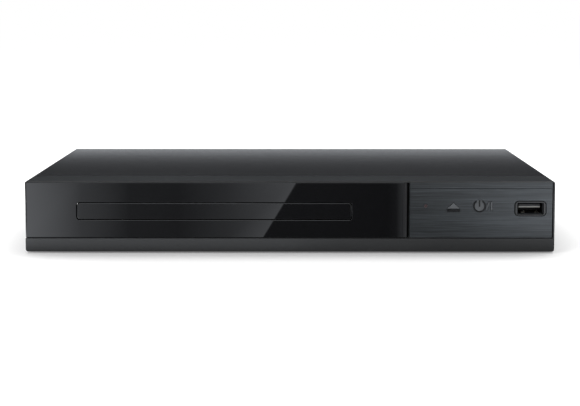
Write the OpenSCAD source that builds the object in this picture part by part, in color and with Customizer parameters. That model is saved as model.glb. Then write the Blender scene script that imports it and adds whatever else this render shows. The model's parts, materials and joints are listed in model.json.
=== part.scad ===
// Compact disc player with a motor driven tray, standing free on four feet.
// Origin: middle of the overall box in X and Y, on the floor in Z. The front faces -Y.

/* [Case] */
// Width across the front
case_w = 270; // [266:1:284]
// Height of the case above its feet
case_h = 35.4; // [35.4:0.2:40]
// Depth from the front face to the fold of the cover at the rear
case_d = 187.6; // [187.6:0.4:204]
// Height of the feet
foot_h = 1.6; // [1.2:0.1:3]
// Radius of a foot
foot_r = 7.5; // [5:0.5:10]
// Thickness of the sheet steel
sheet = 0.6; // [0.5:0.05:0.8]
// Outer radius of the folds along the cover
fold_r = 1.3; // [1:0.1:2.5]
// Height of the side walls of the bottom pan
pan_wall_h = 9; // [6:0.5:14]
// Height of the fold of the cover over the rear panel
rear_fold_h = 8; // [6:0.5:10]

/* [Front] */
// Depth of the moulded flange behind the front face
flange_d = 25; // [20:1:32]
// Wall thickness of the front moulding
bezel_t = 1.8; // [1.5:0.1:2.4]
// Height of the matt strip below the window
chin_h = 6; // [5:0.2:8]
// How far the front moulding hangs below the pan
skirt_drop = 0.8; // [0.2:0.1:1]
// Thickness of the gloss window
window_t = 2; // [1.5:0.1:2.5]
// Distance of the right end of the gloss window from the right side
window_set = 75.8; // [75:0.2:77]
// Distance of the left end of the control panel from the right side
panel_set = 74.3; // [73:0.1:74.4]
// Set back of the control panel behind the front face
panel_back = 0.4; // [0.3:0.05:0.7]
// Height of the top lip above window and panel
lip_h = 0.7; // [0.5:0.1:1.2]
// Shadow gap between window, panel and chin
seam = 0.5; // [0.3:0.05:0.8]

/* [Keys and USB] */
// Distance of the indicator light from the right side
led_set = 65.7; // [63:0.1:69]
// Distance of the eject key from the right side
eject_set = 51.6; // [49:0.2:55]
// Distance of the power key from the right side
power_set = 38.4; // [35:0.2:41]
// Height of both keys and the light above the floor
key_z = 24.3; // [20:0.1:28]
// Travel of a key
key_travel = 0.4; // [0.2:0.05:0.5]
// Gap round the signs of the keys
key_gap = 0.18; // [0.1:0.01:0.2]
// Outer radius of the ring on the power key
ring_r = 3.1; // [2.6:0.1:3.6]
// Distance of the middle of the USB socket from the right side
usb_set = 12.4; // [12:0.05:16]
// Middle of the USB socket above the floor
usb_z = 23; // [20:0.1:27]
// Outer width of the USB socket
usb_w = 13.4; // [13.2:0.1:13.6]
// Outer height of the USB socket
usb_h = 6; // [5.8:0.1:6.2]

/* [Tray] */
// Middle of the tray across
tray_x = -38.5; // [-42:0.5:-36]
// Width of the tray
tray_w = 129; // [128:0.2:130]
// Underside of the tray above the inside of the pan
tray_up = 16.8; // [16.8:0.1:18]
// Rim height of the tray
tray_h = 6; // [5.5:0.1:6.4]
// Wall thickness of the tray
tray_wall = 1.5; // [1.2:0.1:2]
// Distance from the front face back to the spindle
spindle_set = 70; // [69:0.2:74]
// Distance from the spindle back to the tail of the tray
tail_d = 91; // [88:0.5:93]
// Travel of the tray
travel = 131; // [110:1:133]
// Radius of the recess for a large disc
disc_seat_r = 60.7; // [60.4:0.1:61.5]
// Radius of the recess for a small disc
small_seat_r = 40.7; // [40.4:0.1:41.5]
// Half width of the slot in the tray
slot_r = 22; // [20:0.2:23]
// Width of the tray door
door_w = 139.8; // [134:0.2:141]
// Height of the tray door
door_h = 8.2; // [8:0.1:9.4]
// Thickness of the tray door
door_t = 3; // [2.2:0.1:3.6]
// Gap round the tray door
door_gap = 0.45; // [0.3:0.05:0.7]

/* [Loading drive] */
// Module of the tray rack and the wheel on it
rack_m = 1; // [0.9:0.05:1.05]
// Teeth of the wheel on the rack
rack_teeth = 18; // [17:1:18]
// Module of the reduction wheels
wheel_m = 0.6; // [0.56:0.01:0.62]
// Teeth of the large reduction wheel
wheel_teeth = 36; // [33:1:37]
// Teeth of the pinion on the belt pulley
pinion_teeth = 12; // [12:1:14]
// Groove radius of the large belt pulley
pulley_r = 7.9; // [7:0.1:8]
// Groove radius of the motor pulley
motor_pulley_r = 2.4; // [2.2:0.1:3]
// Thickness of the belt
belt_t = 1.2; // [0.8:0.1:1.3]

/* [Traverse] */
// Angle that the traverse hangs down while the tray moves
drop_deg = 3.2; // [3:0.05:3.3]
// Distance from the spindle back to the pivot of the lift frame
pivot_d = 80; // [79:0.5:82]
// Stroke of the cam slider
cam_stroke = 12; // [11:0.5:14]
// Radius of the lift pins
lift_pin_r = 1.8; // [1.5:0.1:2]
// Radius of the turntable
table_r = 15; // [13:0.5:15.5]
// Radius of the guide rails
rail_r = 1.5; // [1.2:0.1:1.5]
// Distance of a guide rail from the middle
rail_x = 24; // [23.8:0.1:24.3]
// Nearest reach of the lens from the spindle
lens_in = 24; // [24:0.2:26]
// Travel of the pickup along its rails
feed_travel = 34; // [30:0.5:34]
// Travel of the lens each way when it focuses
focus_travel = 0.6; // [0.4:0.05:0.7]

/* [Rear] */
// Length of the phono barrels beyond the rear fold
jack_proud = 8; // [7:0.2:10]
// Outer radius of a phono barrel
jack_r = 4.15; // [4.1:0.05:4.3]
// Spacing of the phono sockets
jack_pitch = 12; // [11:0.5:13]
// Distance of the middle phono socket from the right side
jack_set = 69; // [67:0.5:73]
// Distance of the middle of the mains inlet from the right side
inlet_set = 21; // [19:0.5:23]
// Spacing of the two inlet pins
inlet_pitch = 8.6; // [8:0.1:9]

/* [Hidden] */
$fn = 64;
half_w = case_w / 2;
top_z = foot_h + case_h;
base_z = foot_h + sheet;
front_y = -(case_d + jack_proud) / 2;
rear_y = front_y + case_d;
rear_in = rear_y - 2 * sheet;
wall_y = front_y + window_t;
bezel_in = wall_y + bezel_t;
flange_y = front_y + flange_d;
pan_y = bezel_in + 0.2;
fit = 0.05;
slip = 0.3;
chin_z = foot_h + chin_h;
window_z0 = chin_z + seam;
window_z1 = top_z - lip_h - fit;
window_x1 = half_w - window_set;
panel_x0 = half_w - panel_set;
panel_x1 = half_w - 0.9;
led_x = half_w - led_set;
eject_x = half_w - eject_set;
power_x = half_w - power_set;
usb_x = half_w - usb_set;
jack_x = half_w - jack_set;
inlet_x = half_w - inlet_set;

spindle_y = front_y + spindle_set;
tray_z = base_z + tray_up;
seat_z = tray_z + 2.5;
small_z = tray_z + 1.3;
rim_z = tray_z + tray_h;
tray_y0 = door_t - spindle_set;
door_z = tray_z + 2.55;
side_in = tray_w / 2 + slip;
rail_rib = 2;
side_x = side_in + rail_rib + 0.3;
side_t = 2;
frame_y0 = bezel_in - spindle_y + 0.6;
frame_y1 = tail_d + 4;
frame_top = tray_z + 5;
plate_z = base_z + 8.2;
plate_t = 1.6;
gear_z = plate_z + plate_t + 0.3;

rack_r = rack_m * rack_teeth / 2;
wheel_r = wheel_m * wheel_teeth / 2;
pinion_r = wheel_m * pinion_teeth / 2;
skirt_z = tray_z - 1.1;
floor_z = seat_z - tray_wall;
rack_x = 1.3 * rack_m + tray_wall - tray_w / 2;
drive_pos = [rack_x + rack_r, -47.8];
mesh_deg = -25;
pulley_pos = drive_pos + (wheel_r + pinion_r) * [cos(mesh_deg), sin(mesh_deg)];
motor_pos = [4, -52];
wheel_t = 2.5;
flange_t = 0.6;
belt_z = gear_z + wheel_t + 0.2 + flange_t;
rack_gear_z = belt_z + belt_t + flange_t + 0.2;
rack_gear_top = floor_z - slip;
motor_r = 12.2;

disc_z = tray_z + 4.3;
deck_z = tray_z - 4;
deck_t = 1.2;
deck_low = deck_z - deck_t;
pivot_z = base_z + 7.8;
lift_top = pivot_z + 3;
lift_low = pivot_z - 1;
lift_x0 = -43;
lift_x1 = 57;
lift_y0 = -31;
pin_z = pivot_z + 2.5;
pin_xs = [-10, 25];
cam_y0 = -34.8;
cam_t = 3;
cam_z0 = base_z + 1;
cam_z1 = tray_z - 2.5;
rail_z = deck_low - 2.3;
feed_m = 0.5;
feed_small = 14;
feed_large = 44;
feed_pinion_teeth = 10;
feed_line = 24.5;
feed_pos = [feed_line + feed_m * feed_small / 2, 41.8];
feed_reach = feed_m * (feed_large + feed_pinion_teeth) / 2;
feed_motor_x = 41;
feed_deg = acos((feed_motor_x - feed_pos[0]) / feed_reach);
feed_motor_pos = feed_pos + feed_reach * [cos(feed_deg), sin(feed_deg)];
deck_x0 = lift_x0 + 6;
deck_x1 = lift_x1 - 6;
deck_y0 = -26;
deck_y1 = pivot_d - 5;
damper_at = [for (y = [deck_y0 + 4.5, deck_y1 - 5.5], x = [deck_x0 + 4.5, deck_x1 - 4.5]) [x, y]];

board_t = 1.6;
board_z = base_z + 5;
board_top = board_z + board_t;
front_board_y = bezel_in + 6.9;
main_x0 = 40;
main_x1 = half_w - 43;
main_y0 = rear_in - 76;
main_y1 = rear_in - 4;
power_x0 = half_w - 38;
power_x1 = half_w - 4;
power_y0 = rear_in - 88;
jack_z = board_top + 7.7;
inlet_z = board_top + 8.4;

// ---- shared shapes ----

// Points of an arc about c from angle a0 to a1
function arc(c, r, a0, a1, n = 6) =
    [for (i = [0:n]) c + r * [cos(a0 + (a1 - a0) * i / n), sin(a0 + (a1 - a0) * i / n)]];

// Outline of a rectangle with round corners, about the origin
function round_rect(w, h, r, n = 5) = concat(
    arc([w / 2 - r, h / 2 - r], r, 0, 90, n),
    arc([r - w / 2, h / 2 - r], r, 90, 180, n),
    arc([r - w / 2, r - h / 2], r, 180, 270, n),
    arc([w / 2 - r, r - h / 2], r, 270, 360, n));

// Outline round two circles, as a taut belt or a round-ended slot
function taut(c1, r1, c2, r2, n = 16) =
    let (d = c2 - c1, b = atan2(d[1], d[0]), a = acos((r1 - r2) / norm(d)))
    concat(arc(c1, r1, b + a, b + 360 - a, n), arc(c2, r2, b - a, b + a, n));

// Box between two opposite corners
module box(a, b) translate(a) cube(b - a);

// Profile drawn in X and Z, run along Y
module along_y(y0, y1) translate([0, y1, 0]) rotate([90, 0, 0]) linear_extrude(y1 - y0) children();

// Profile drawn in Y and Z, run along X
module along_x(x0, x1) translate([x0, 0, 0]) rotate([90, 0, 90]) linear_extrude(x1 - x0) children();

// Round bar from p along Y
module bar_y(x, z, r, y0, y1) along_y(y0, y1) translate([x, z]) circle(r);

// Round bar along X
module bar_x(y, z, r, x0, x1) along_x(x0, x1) translate([y, z]) circle(r);

// Upright round post
module post(x, y, r, z0, z1) translate([x, y, z0]) cylinder(r = r, h = z1 - z0);

// Loader pieces are drawn about the spindle axis
module loader() translate([tray_x, spindle_y, 0]) children();

// Traverse pieces are drawn level about the spindle axis, then hung down about their pivot
module traverse()
    loader() translate([0, pivot_d, pivot_z]) rotate([drop_deg, 0, 0])
        translate([0, -pivot_d, -pivot_z]) children();

// ---- gear teeth ----

// Turn of the involute at radius r above base radius rb, in degrees
function involute(rb, r) = let (a = acos(min(1, rb / r))) tan(a) * 180 / PI - a;

// Half of the tooth's angle at radius r
function half_tooth(m, n, r, slack) =
    let (rp = m * n / 2, rb = rp * cos(20))
    90 / n - slack / rp * 90 / PI + involute(rb, rp) - involute(rb, max(r, rb));

// Outline of a spur wheel with a tooth at angle at
function wheel_pts(m, n, at = 0, slack = 0.08, tip = 0.9, steps = 3) =
    let (rp = m * n / 2, rr = rp - 1.2 * m, ra = rp + tip * m, r0 = max(rr, rp * cos(20)))
    [for (t = [0:n - 1]) let (c = at + 360 * t / n)
        each concat(
            [let (h = half_tooth(m, n, r0, slack)) rr * [cos(c - h), sin(c - h)]],
            [for (i = [0:steps]) let (r = r0 + (ra - r0) * i / steps, h = half_tooth(m, n, r, slack))
                r * [cos(c - h), sin(c - h)]],
            [for (i = [steps:-1:0]) let (r = r0 + (ra - r0) * i / steps, h = half_tooth(m, n, r, slack))
                r * [cos(c + h), sin(c + h)]],
            [let (h = half_tooth(m, n, r0, slack)) rr * [cos(c + h), sin(c + h)]])];

// Straight rack: teeth face +X from the pitch line x = 0, a gap lies at y = at
function rack_pts(m, y0, y1, at, back, slack = 0.08) =
    let (p = PI * m, n0 = ceil((y0 - at) / p), n1 = floor((y1 - at) / p),
         w0 = p / 4 - slack / 2 + 1.2 * m * tan(20), w1 = p / 4 - slack / 2 - 0.9 * m * tan(20))
    concat([[-back, y0], [-1.2 * m, y0]],
        [for (i = [n0:n1 - 1]) let (c = at + (i + 0.5) * p)
            each [[-1.2 * m, c - w0], [0.9 * m, c - w1], [0.9 * m, c + w1], [-1.2 * m, c + w0]]],
        [[-1.2 * m, y1], [-back, y1]]);

// Angle of a tooth on wheel B so that it meshes with wheel A; B lies in direction dir from A
function mesh_at(dir, at_a, teeth_a, teeth_b) = dir + 180 + 180 / teeth_b - (at_a - dir) * teeth_a / teeth_b;

// Toothed disc between two heights
module wheel(m, n, at, z0, z1, tip = 0.9)
    translate([0, 0, z0]) linear_extrude(z1 - z0) polygon(wheel_pts(m, n, at, tip = tip));

// ---- case ----

// Places of the feet
foot_at = [for (sx = [-1, 1], y = [front_y + 17, rear_y - 14]) [sx * (half_w - 17), y]];
// Screw posts pressed up from the pan below the boards
main_posts = [for (x = [main_x0 + 4, main_x1 - 4], y = [main_y0 + 4, main_y1 - 12]) [x, y]];
power_posts = [for (x = [power_x0 + 4, power_x1 - 4], y = [power_y0 + 4, main_y1 - 4]) [x, y]];
// Screws at the rear: along the fold of the cover and along the foot of the panel
fold_screw_x = [-half_w + 14, 14, half_w - 14];
foot_screw_x = [-half_w + 28, 30, half_w - 28];
// Stiffening beads pressed up from the pan: middle, half width and half length
beads = concat([for (x = [18, 9]) [x - half_w, 0, 2.5, 60]],
    [for (x = [52, 61, 92, 101, 110, 119]) [x, power_y0 - 36, 2.5, 26]]);
bead_h = 0.9;
fold_screw_z = top_z - 4.5;
foot_screw_z = base_z + 3.4;

module chassis() color([0.62, 0.63, 0.64]) {
    difference() {
        union() {
            box([sheet + 1.2 - half_w, pan_y, foot_h], [half_w - sheet - 1.2, flange_y, base_z]);
            box([2 * sheet - half_w, flange_y, foot_h], [half_w - 2 * sheet, rear_y - sheet, base_z]);
            for (s = [-1, 1]) {
                box([s * (half_w - 1.5 * sheet) - sheet / 2, flange_y + 1, foot_h],
                    [s * (half_w - 1.5 * sheet) + sheet / 2, rear_in - 1, foot_h + pan_wall_h]);
            }
            for (x = foot_screw_x) {
                box([x - 6, rear_in - sheet, foot_h], [x + 6, rear_in, foot_h + pan_wall_h]);
            }
            for (p = concat(main_posts, power_posts)) {
                post(p[0], p[1], 2.6, foot_h, board_z);
            }
            for (b = beads) {
                translate([b[0], b[1], foot_h]) linear_extrude(sheet + bead_h)
                    polygon(round_rect(2 * b[2], 2 * b[3], b[2] - 0.1, 3));
            }
        }
        for (b = beads) {
            translate([b[0], b[1], foot_h - 1]) linear_extrude(1 + bead_h)
                polygon(round_rect(2 * (b[2] - sheet), 2 * (b[3] - sheet), b[2] - sheet - 0.1, 3));
        }
        for (p = concat(main_posts, power_posts)) {
            post(p[0], p[1], 1.2, foot_h - 1, board_z + 1);
        }
        for (x = foot_screw_x) {
            bar_y(x, foot_screw_z, 1.5, rear_in - 2, rear_in + 1);
        }
        for (i = [0:6]) {
            box([power_x0 + 4 + 4 * i, power_y0 + 20, foot_h - 1],
                [power_x0 + 6.2 + 4 * i, power_y0 + 50, base_z + 1]);
        }
        for (i = [0:7]) {
            box([main_x0 + 8 + 4.5 * i, main_y0 + 14, foot_h - 1],
                [main_x0 + 10.2 + 4.5 * i, main_y0 + 38, base_z + 1]);
        }
    }
}

module rear_panel() color([0.16, 0.16, 0.17]) {
    difference() {
        union() {
            box([2 * sheet - half_w, rear_in, base_z], [half_w - 2 * sheet, rear_in + sheet, top_z - sheet]);
            box([8 - half_w, rear_in - 8, top_z - 2 * sheet], [half_w - 8, rear_in + sheet, top_z - sheet]);
        }
        for (i = [-1, 0, 1]) {
            bar_y(jack_x + i * jack_pitch, jack_z, jack_r + 0.4, rear_in - 1, rear_in + 1);
        }
        along_y(rear_in - 1, rear_in + 1) translate([inlet_x, inlet_z])
            polygon(round_rect(22.6, 13.2, 2));
        for (x = fold_screw_x) {
            bar_y(x, fold_screw_z, 1.2, rear_in - 1, rear_in + 1);
        }
        for (x = foot_screw_x) {
            bar_y(x, foot_screw_z, 1.6, rear_in - 1, rear_in + 1);
        }
        for (i = [0:11]) {
            along_y(rear_in - 1, rear_in + 1) translate([i * 5 - 92, base_z + 17])
                polygon(round_rect(2.2, 15, 1));
        }
    }
}

// Section of the cover: two side walls and a top with rounded folds
module cover_section(out) {
    w = case_w - 2 * out;
    r = fold_r - out;
    polygon(concat([[w / 2, base_z]], arc([w / 2 - r, top_z - out - r], r, 0, 90),
        arc([r - w / 2, top_z - out - r], r, 90, 180), [[-w / 2, base_z]]));
}

module top_cover() color([0.13, 0.13, 0.14]) {
    difference() {
        along_y(flange_y, rear_y) cover_section(0);
        along_y(flange_y - 1, rear_y - sheet) cover_section(sheet);
        box([sheet - half_w, rear_y - 2 * sheet, foot_h - 1], [half_w - sheet, rear_y + 1, top_z - rear_fold_h]);
        for (x = fold_screw_x) {
            bar_y(x, fold_screw_z, 1.7, rear_y - 2, rear_y + 1);
        }
    }
}

module feet() color([0.08, 0.08, 0.08]) for (p = foot_at) translate([p[0], p[1], 0])
    rotate_extrude() polygon([[0, 0], [foot_r - 0.4, 0], [foot_r, 0.4], [foot_r, foot_h], [0, foot_h]]);

// Pan head screw along +Y into a sheet whose outer face is at y
module sheet_screw(x, y, z, length) translate([x, y, z]) rotate([90, 0, 0]) {
    translate([0, 0, -length]) cylinder(r = 1.1, h = length);
    difference() {
        cylinder(r1 = 3, r2 = 2.4, h = 1.6);
        for (a = [0, 90]) rotate(a) translate([-1.4, -0.3, 0.9]) cube([2.8, 0.6, 1]);
    }
}

module case_screws() color([0.2, 0.2, 0.21]) {
    for (x = fold_screw_x) {
        translate([0, 2 * rear_y, 0]) mirror([0, 1, 0]) sheet_screw(x, rear_y, fold_screw_z, 6);
    }
    for (x = foot_screw_x) {
        translate([0, 2 * (rear_in + sheet), 0]) mirror([0, 1, 0])
            sheet_screw(x, rear_in + sheet, foot_screw_z, 5);
    }
}

// ---- front ----

bezel_post_at = [[panel_x0 + 5.3, 29.5], [panel_x0 + 5.3, 9], [half_w - 29, 31], [half_w - 6, 10]];

module front_bezel() color([0.17, 0.18, 0.18]) {
    difference() {
        union() {
            difference() {
                along_y(front_y, flange_y) translate([0, foot_h + (case_h - skirt_drop) / 2])
                    polygon(round_rect(case_w, case_h + skirt_drop, fold_r));
                box([bezel_t - half_w, bezel_in, -1], [half_w - bezel_t, flange_y + 1, top_z - bezel_t]);
                box([-half_w - 1, front_y - 1, chin_z], [panel_x1 + 3 * fit, wall_y, top_z - lip_h]);
            }
            box([4 - half_w, flange_y - 2, top_z - 2 * bezel_t + 0.2],
                [half_w - 4, flange_y + 6, top_z - sheet - fit]);
            for (p = bezel_post_at) {
                bar_y(p[0], p[1], 2.6, bezel_in - 0.5, front_board_y);
            }
            along_y(front_y + 0.1, bezel_in - 0.5) translate([usb_x, usb_z])
                polygon(round_rect(usb_w + 2, usb_h + 1.2, 1.8));
        }
        box([tray_x - door_w / 2 - 0.6, wall_y - 1, door_z - door_h / 2 - 0.6],
            [tray_x + door_w / 2 + 0.6, bezel_in + 1, door_z + door_h / 2 + 0.6]);
        for (p = bezel_post_at) {
            bar_y(p[0], p[1], 1.1, bezel_in + 1, front_board_y + 1);
        }
        box([eject_x - 5.5, wall_y - 1, key_z - 5], [eject_x + 5.5, bezel_in + 1, key_z + 4.5]);
        box([power_x - 5.5, wall_y - 1, key_z - 5], [power_x + 9, bezel_in + 1, key_z + 5]);
        bar_y(led_x, key_z, 1.6, wall_y - 1, bezel_in + 1);
        along_y(front_y - 1, bezel_in + 1) translate([usb_x, usb_z])
            polygon(round_rect(usb_w + 0.2, usb_h + 0.2, 0.7));
    }
}

module gloss_window() color([0.07, 0.07, 0.08]) {
    difference() {
        translate([0, 0, window_z0]) linear_extrude(window_z1 - window_z0)
            polygon(concat(
                [[window_x1, wall_y], [-half_w, wall_y]],
                arc([0.8 - half_w, front_y + 0.8], 0.8, 180, 270, 4),
                arc([window_x1 - 1.8, front_y + 1.8], 1.8, 270, 360, 6)));
        along_y(front_y - 1, wall_y + 1) translate([tray_x, door_z])
            polygon(round_rect(door_w + 2 * door_gap, door_h + 2 * door_gap, 1.6));
    }
}

// Eject sign: a triangle over a bar, grown all round by grow
module eject_sign(grow) {
    w = 3.2 + 1.9 * grow;
    polygon([[-w, -1.3 - grow], [w, -1.3 - grow], [0, 1.6 + 1.5 * grow]]);
    translate([0, -2.35]) square([6.4 + 2 * grow, 0.95 + 2 * grow], center = true);
}

// Power sign: a slanted stroke and an upright bar beside the ring, grown by grow
module power_bars(grow) {
    translate([ring_r + 1.1, 0]) rotate(-20) square([0.6 + 2 * grow, 4.4 + 2 * grow], center = true);
    translate([ring_r + 3.1, 0]) square([0.8 + 2 * grow, 4.4 + 2 * grow], center = true);
}

module control_panel() color([0.24, 0.25, 0.26]) {
    y0 = front_y + panel_back;
    difference() {
        translate([0, 0, window_z0]) linear_extrude(window_z1 - window_z0)
            polygon([[panel_x0, wall_y], [panel_x0, y0 + 0.6], [panel_x0 + 0.6, y0],
                [panel_x1 - 0.4, y0], [panel_x1, y0 + 0.4], [panel_x1, wall_y]]);
        box([panel_x0 - 1, y0 - 1, top_z - 4], [panel_x1 + 1, y0 + 0.3, top_z - 3.5]);
        bar_y(led_x, key_z, 0.9, front_y - 1, wall_y + 1);
        along_y(front_y - 1, wall_y + 1) translate([eject_x, key_z]) eject_sign(key_gap);
        along_y(front_y - 1, wall_y + 1) translate([power_x, key_z]) {
            circle(ring_r + key_gap);
            power_bars(key_gap);
        }
        along_y(front_y - 1, wall_y + 1) translate([usb_x, usb_z])
            polygon(round_rect(usb_w + 3, usb_h + 2, 2.2));
    }
}

module led_lens() color([0.5, 0.08, 0.06]) {
    bar_y(led_x, key_z, 0.85, front_y + panel_back, wall_y);
    bar_y(led_x, key_z, 1.45, wall_y, front_board_y - 1.3);
}

module indicator_led() color([0.85, 0.85, 0.8])
    box([led_x - 1.5, front_board_y - 1.2, key_z - 1], [led_x + 1.5, front_board_y, key_z + 1]);

key_back = bezel_in + 0.4;
plunger_y = key_back + 2.6;

module eject_button() color([0.27, 0.28, 0.29]) {
    along_y(front_y, wall_y + 0.4) translate([eject_x, key_z]) eject_sign(0);
    box([eject_x - 4.6, wall_y + 0.2, key_z - 4], [eject_x + 4.6, key_back, key_z + 3.4]);
    bar_y(eject_x, key_z, 1.6, key_back, plunger_y);
}

module power_button() color([0.27, 0.28, 0.29]) {
    difference() {
        union() {
            along_y(front_y, wall_y + 0.4) translate([power_x, key_z]) {
                circle(ring_r);
                power_bars(0);
            }
            box([power_x - 4.6, wall_y + 0.2, key_z - 4.2], [power_x + 8.2, key_back, key_z + 4.2]);
            bar_y(power_x, key_z, 1.6, key_back, plunger_y);
        }
        along_y(front_y - 1, front_y + panel_back) translate([power_x, key_z]) difference() {
            union() {
                circle(ring_r - 0.8);
                translate([-0.95, 0]) square([1.9, ring_r + 1]);
            }
            translate([-0.4, -0.6]) square([0.8, ring_r + 0.6]);
        }
    }
}

switch_y = front_board_y - 3.4;

module plunger(x) {
    bar_y(x, key_z, 1.7, plunger_y, switch_y + 1.4);
}

module eject_plunger() color([0.9, 0.9, 0.88]) plunger(eject_x);
module power_plunger() color([0.9, 0.9, 0.88]) plunger(power_x);

module tact_switches() color([0.15, 0.15, 0.15]) for (x = [eject_x, power_x]) {
    difference() {
        box([x - 3, switch_y, key_z - 3], [x + 3, front_board_y, key_z + 3]);
        bar_y(x, key_z, 1.8, switch_y - 1, switch_y + 2.4);
    }
}

module front_board() color([0.12, 0.35, 0.2]) {
    difference() {
        box([panel_x0 + 1.5, front_board_y, base_z + 2.4],
            [half_w - 3, front_board_y + board_t, top_z - 3.6]);
        box([usb_x - usb_w / 2 - fit, front_board_y - 1, usb_z - usb_h / 2 - fit],
            [usb_x + usb_w / 2 + fit, front_board_y + board_t + 1, usb_z + usb_h / 2 + fit]);
        for (p = bezel_post_at) {
            bar_y(p[0], p[1], 1.5, front_board_y - 1, front_board_y + board_t + 1);
        }
    }
}

usb_y0 = wall_y + 0.4;
usb_y1 = usb_y0 + 13.8;

module usb_shell() color([0.75, 0.76, 0.78]) {
    along_y(usb_y0, usb_y1) translate([usb_x, usb_z]) difference() {
        polygon(round_rect(usb_w, usb_h, 0.6, 3));
        polygon(round_rect(usb_w - 0.8, usb_h - 0.8, 0.3, 3));
    }
    along_y(usb_y1 - 0.4, usb_y1) translate([usb_x, usb_z]) square([usb_w - 0.4, usb_h - 0.4], center = true);
}

module usb_tongue() color([0.9, 0.9, 0.88]) {
    box([usb_x - 5.6, usb_y0 + 2.3, usb_z + 0.1], [usb_x + 5.6, usb_y1 - 2.4, usb_z + 1.9]);
    box([usb_x - usb_w / 2 + 0.5, usb_y1 - 2.4, usb_z - usb_h / 2 + 0.5],
        [usb_x + usb_w / 2 - 0.5, usb_y1 - 0.4, usb_z + usb_h / 2 - 0.5]);
}

// ---- boards and rear sockets ----

module board(x0, x1, y0, y1, posts) difference() {
    box([x0, y0, board_z], [x1, y1, board_top]);
    for (p = posts) {
        post(p[0], p[1], 1.5, board_z - 1, board_top + 1);
    }
}

module main_board() color([0.12, 0.35, 0.2]) board(main_x0, main_x1, main_y0, main_y1, main_posts);
module power_board() color([0.72, 0.6, 0.36]) board(power_x0, power_x1, power_y0, main_y1, power_posts);

module board_chips() color([0.1, 0.1, 0.11]) {
    box([main_x0 + 10, main_y0 + 22, board_top], [main_x0 + 24, main_y0 + 36, board_top + 1.4]);
    box([main_x0 + 30, main_y0 + 24, board_top], [main_x0 + 40, main_y0 + 34, board_top + 1.1]);
    box([main_x0 + 12, main_y0 + 10, board_top], [main_x0 + 19, main_y0 + 17, board_top + 1.6]);
    box([main_x0 + 32, main_y0 + 42, board_top], [main_x0 + 42, main_y0 + 48, board_top + 1.6]);
    box([main_x0 + 8, main_y0 + 44, board_top], [main_x0 + 16, main_y0 + 50, board_top + 1.4]);
    box([power_x0 + 9, power_y0 + 2, board_top], [power_x0 + 24, power_y0 + 5.6, board_top + 10]);
    box([power_x0 + 23, power_y0 + 61, board_top], [power_x0 + 29.4, power_y0 + 70.2, board_top + 3.4]);
}

module signal_capacitors() color([0.15, 0.17, 0.3])
    for (p = [[28, 14, 2.5, 9], [36, 14, 2.5, 9], [22, 54, 2, 6], [29, 55, 3, 11], [45, 40, 3, 11], [5, 40, 2.5, 8]])
        post(main_x0 + p[0], main_y0 + p[1], p[2], board_top, board_top + p[3]);

ribbon_x = main_x1 - 21;
ribbon_w = 12;

module ribbon_sockets() color([0.86, 0.85, 0.8]) {
    box([ribbon_x - 1, main_y0 + 1, board_top], [ribbon_x + ribbon_w + 1, main_y0 + 6, board_top + 4]);
    box([main_x0 + 0.5, main_y0 + 14, board_top], [main_x0 + 4.5, main_y0 + 30, board_top + 4]);
    box([ribbon_x - 1, front_board_y + board_t, base_z + 4],
        [ribbon_x + ribbon_w + 1, front_board_y + board_t + 4, base_z + 8]);
    box([power_x0 + 1, main_y0 + 30, board_top], [power_x0 + 5, main_y0 + 44, board_top + 6]);
}

// Flat cable folded down from the front board, along the pan and up to the main board
module front_ribbon() color([0.93, 0.93, 0.9]) {
    t = 0.3;
    ya = front_board_y + board_t + 4;
    yb = main_y0 + 1;
    za = base_z + 6;
    zb = board_top + 2;
    along_x(ribbon_x, ribbon_x + ribbon_w) polygon([
        [ya, za], [ya + 2, za], [ya + 3, base_z + 0.3 + t], [yb - 3, base_z + 0.3 + t], [yb - 2, zb], [yb, zb],
        [yb, zb + t], [yb - 2 - t, zb + t], [yb - 3 - t, base_z + 0.3 + 2 * t],
        [ya + 3 + t, base_z + 0.3 + 2 * t], [ya + 2 + t, za + t], [ya, za + t]]);
}

// Pan head screw along Z with the seat of its head at z
module down_screw(x, y, z, length, r = 1.1) translate([x, y, z]) {
    translate([0, 0, -length]) cylinder(r = r, h = length);
    difference() {
        cylinder(r1 = 2.4, r2 = 2, h = 1.5);
        for (a = [0, 90]) rotate(a) translate([-1.2, -0.3, 0.8]) cube([2.4, 0.6, 1]);
    }
}

module board_screws() color([0.8, 0.8, 0.78]) {
    for (p = concat(main_posts, power_posts)) {
        down_screw(p[0], p[1], board_top, 6);
    }
    for (p = bezel_post_at) {
        translate([0, 2 * (front_board_y + board_t), 0]) mirror([0, 1, 0])
            sheet_screw(p[0], front_board_y + board_t, p[1], 5);
    }
}

module transformer() color([0.75, 0.65, 0.3]) {
    c = [power_x0 + 17, power_y0 + 47.5];
    box([c[0] - 9, c[1] - 10, board_top], [c[0] + 9, c[1] + 10, board_top + 3]);
    box([c[0] - 7, c[1] - 8, board_top + 3], [c[0] + 7, c[1] + 8, board_top + 14]);
    box([c[0] - 9, c[1] - 10, board_top + 14], [c[0] + 9, c[1] + 10, board_top + 17]);
    for (s = [-1, 1]) {
        box([c[0] - 3, c[1] + s * 9.5 - 1.5, board_top + 3], [c[0] + 3, c[1] + s * 9.5 + 1.5, board_top + 14]);
    }
}

module mains_capacitor() color([0.12, 0.12, 0.14]) {
    bar_y(power_x0 + 20, board_top + 7.2, 7, power_y0 + 8, power_y0 + 32);
    for (s = [-1, 1]) {
        box([power_x0 + 20 + 2.5 * s - 0.4, power_y0 + 32, board_top + 6.8],
            [power_x0 + 20 + 2.5 * s + 0.4, power_y0 + 35, board_top + 7.6]);
        box([power_x0 + 20 + 2.5 * s - 0.4, power_y0 + 34.2, board_top],
            [power_x0 + 20 + 2.5 * s + 0.4, power_y0 + 35, board_top + 7.6]);
    }
}

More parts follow.
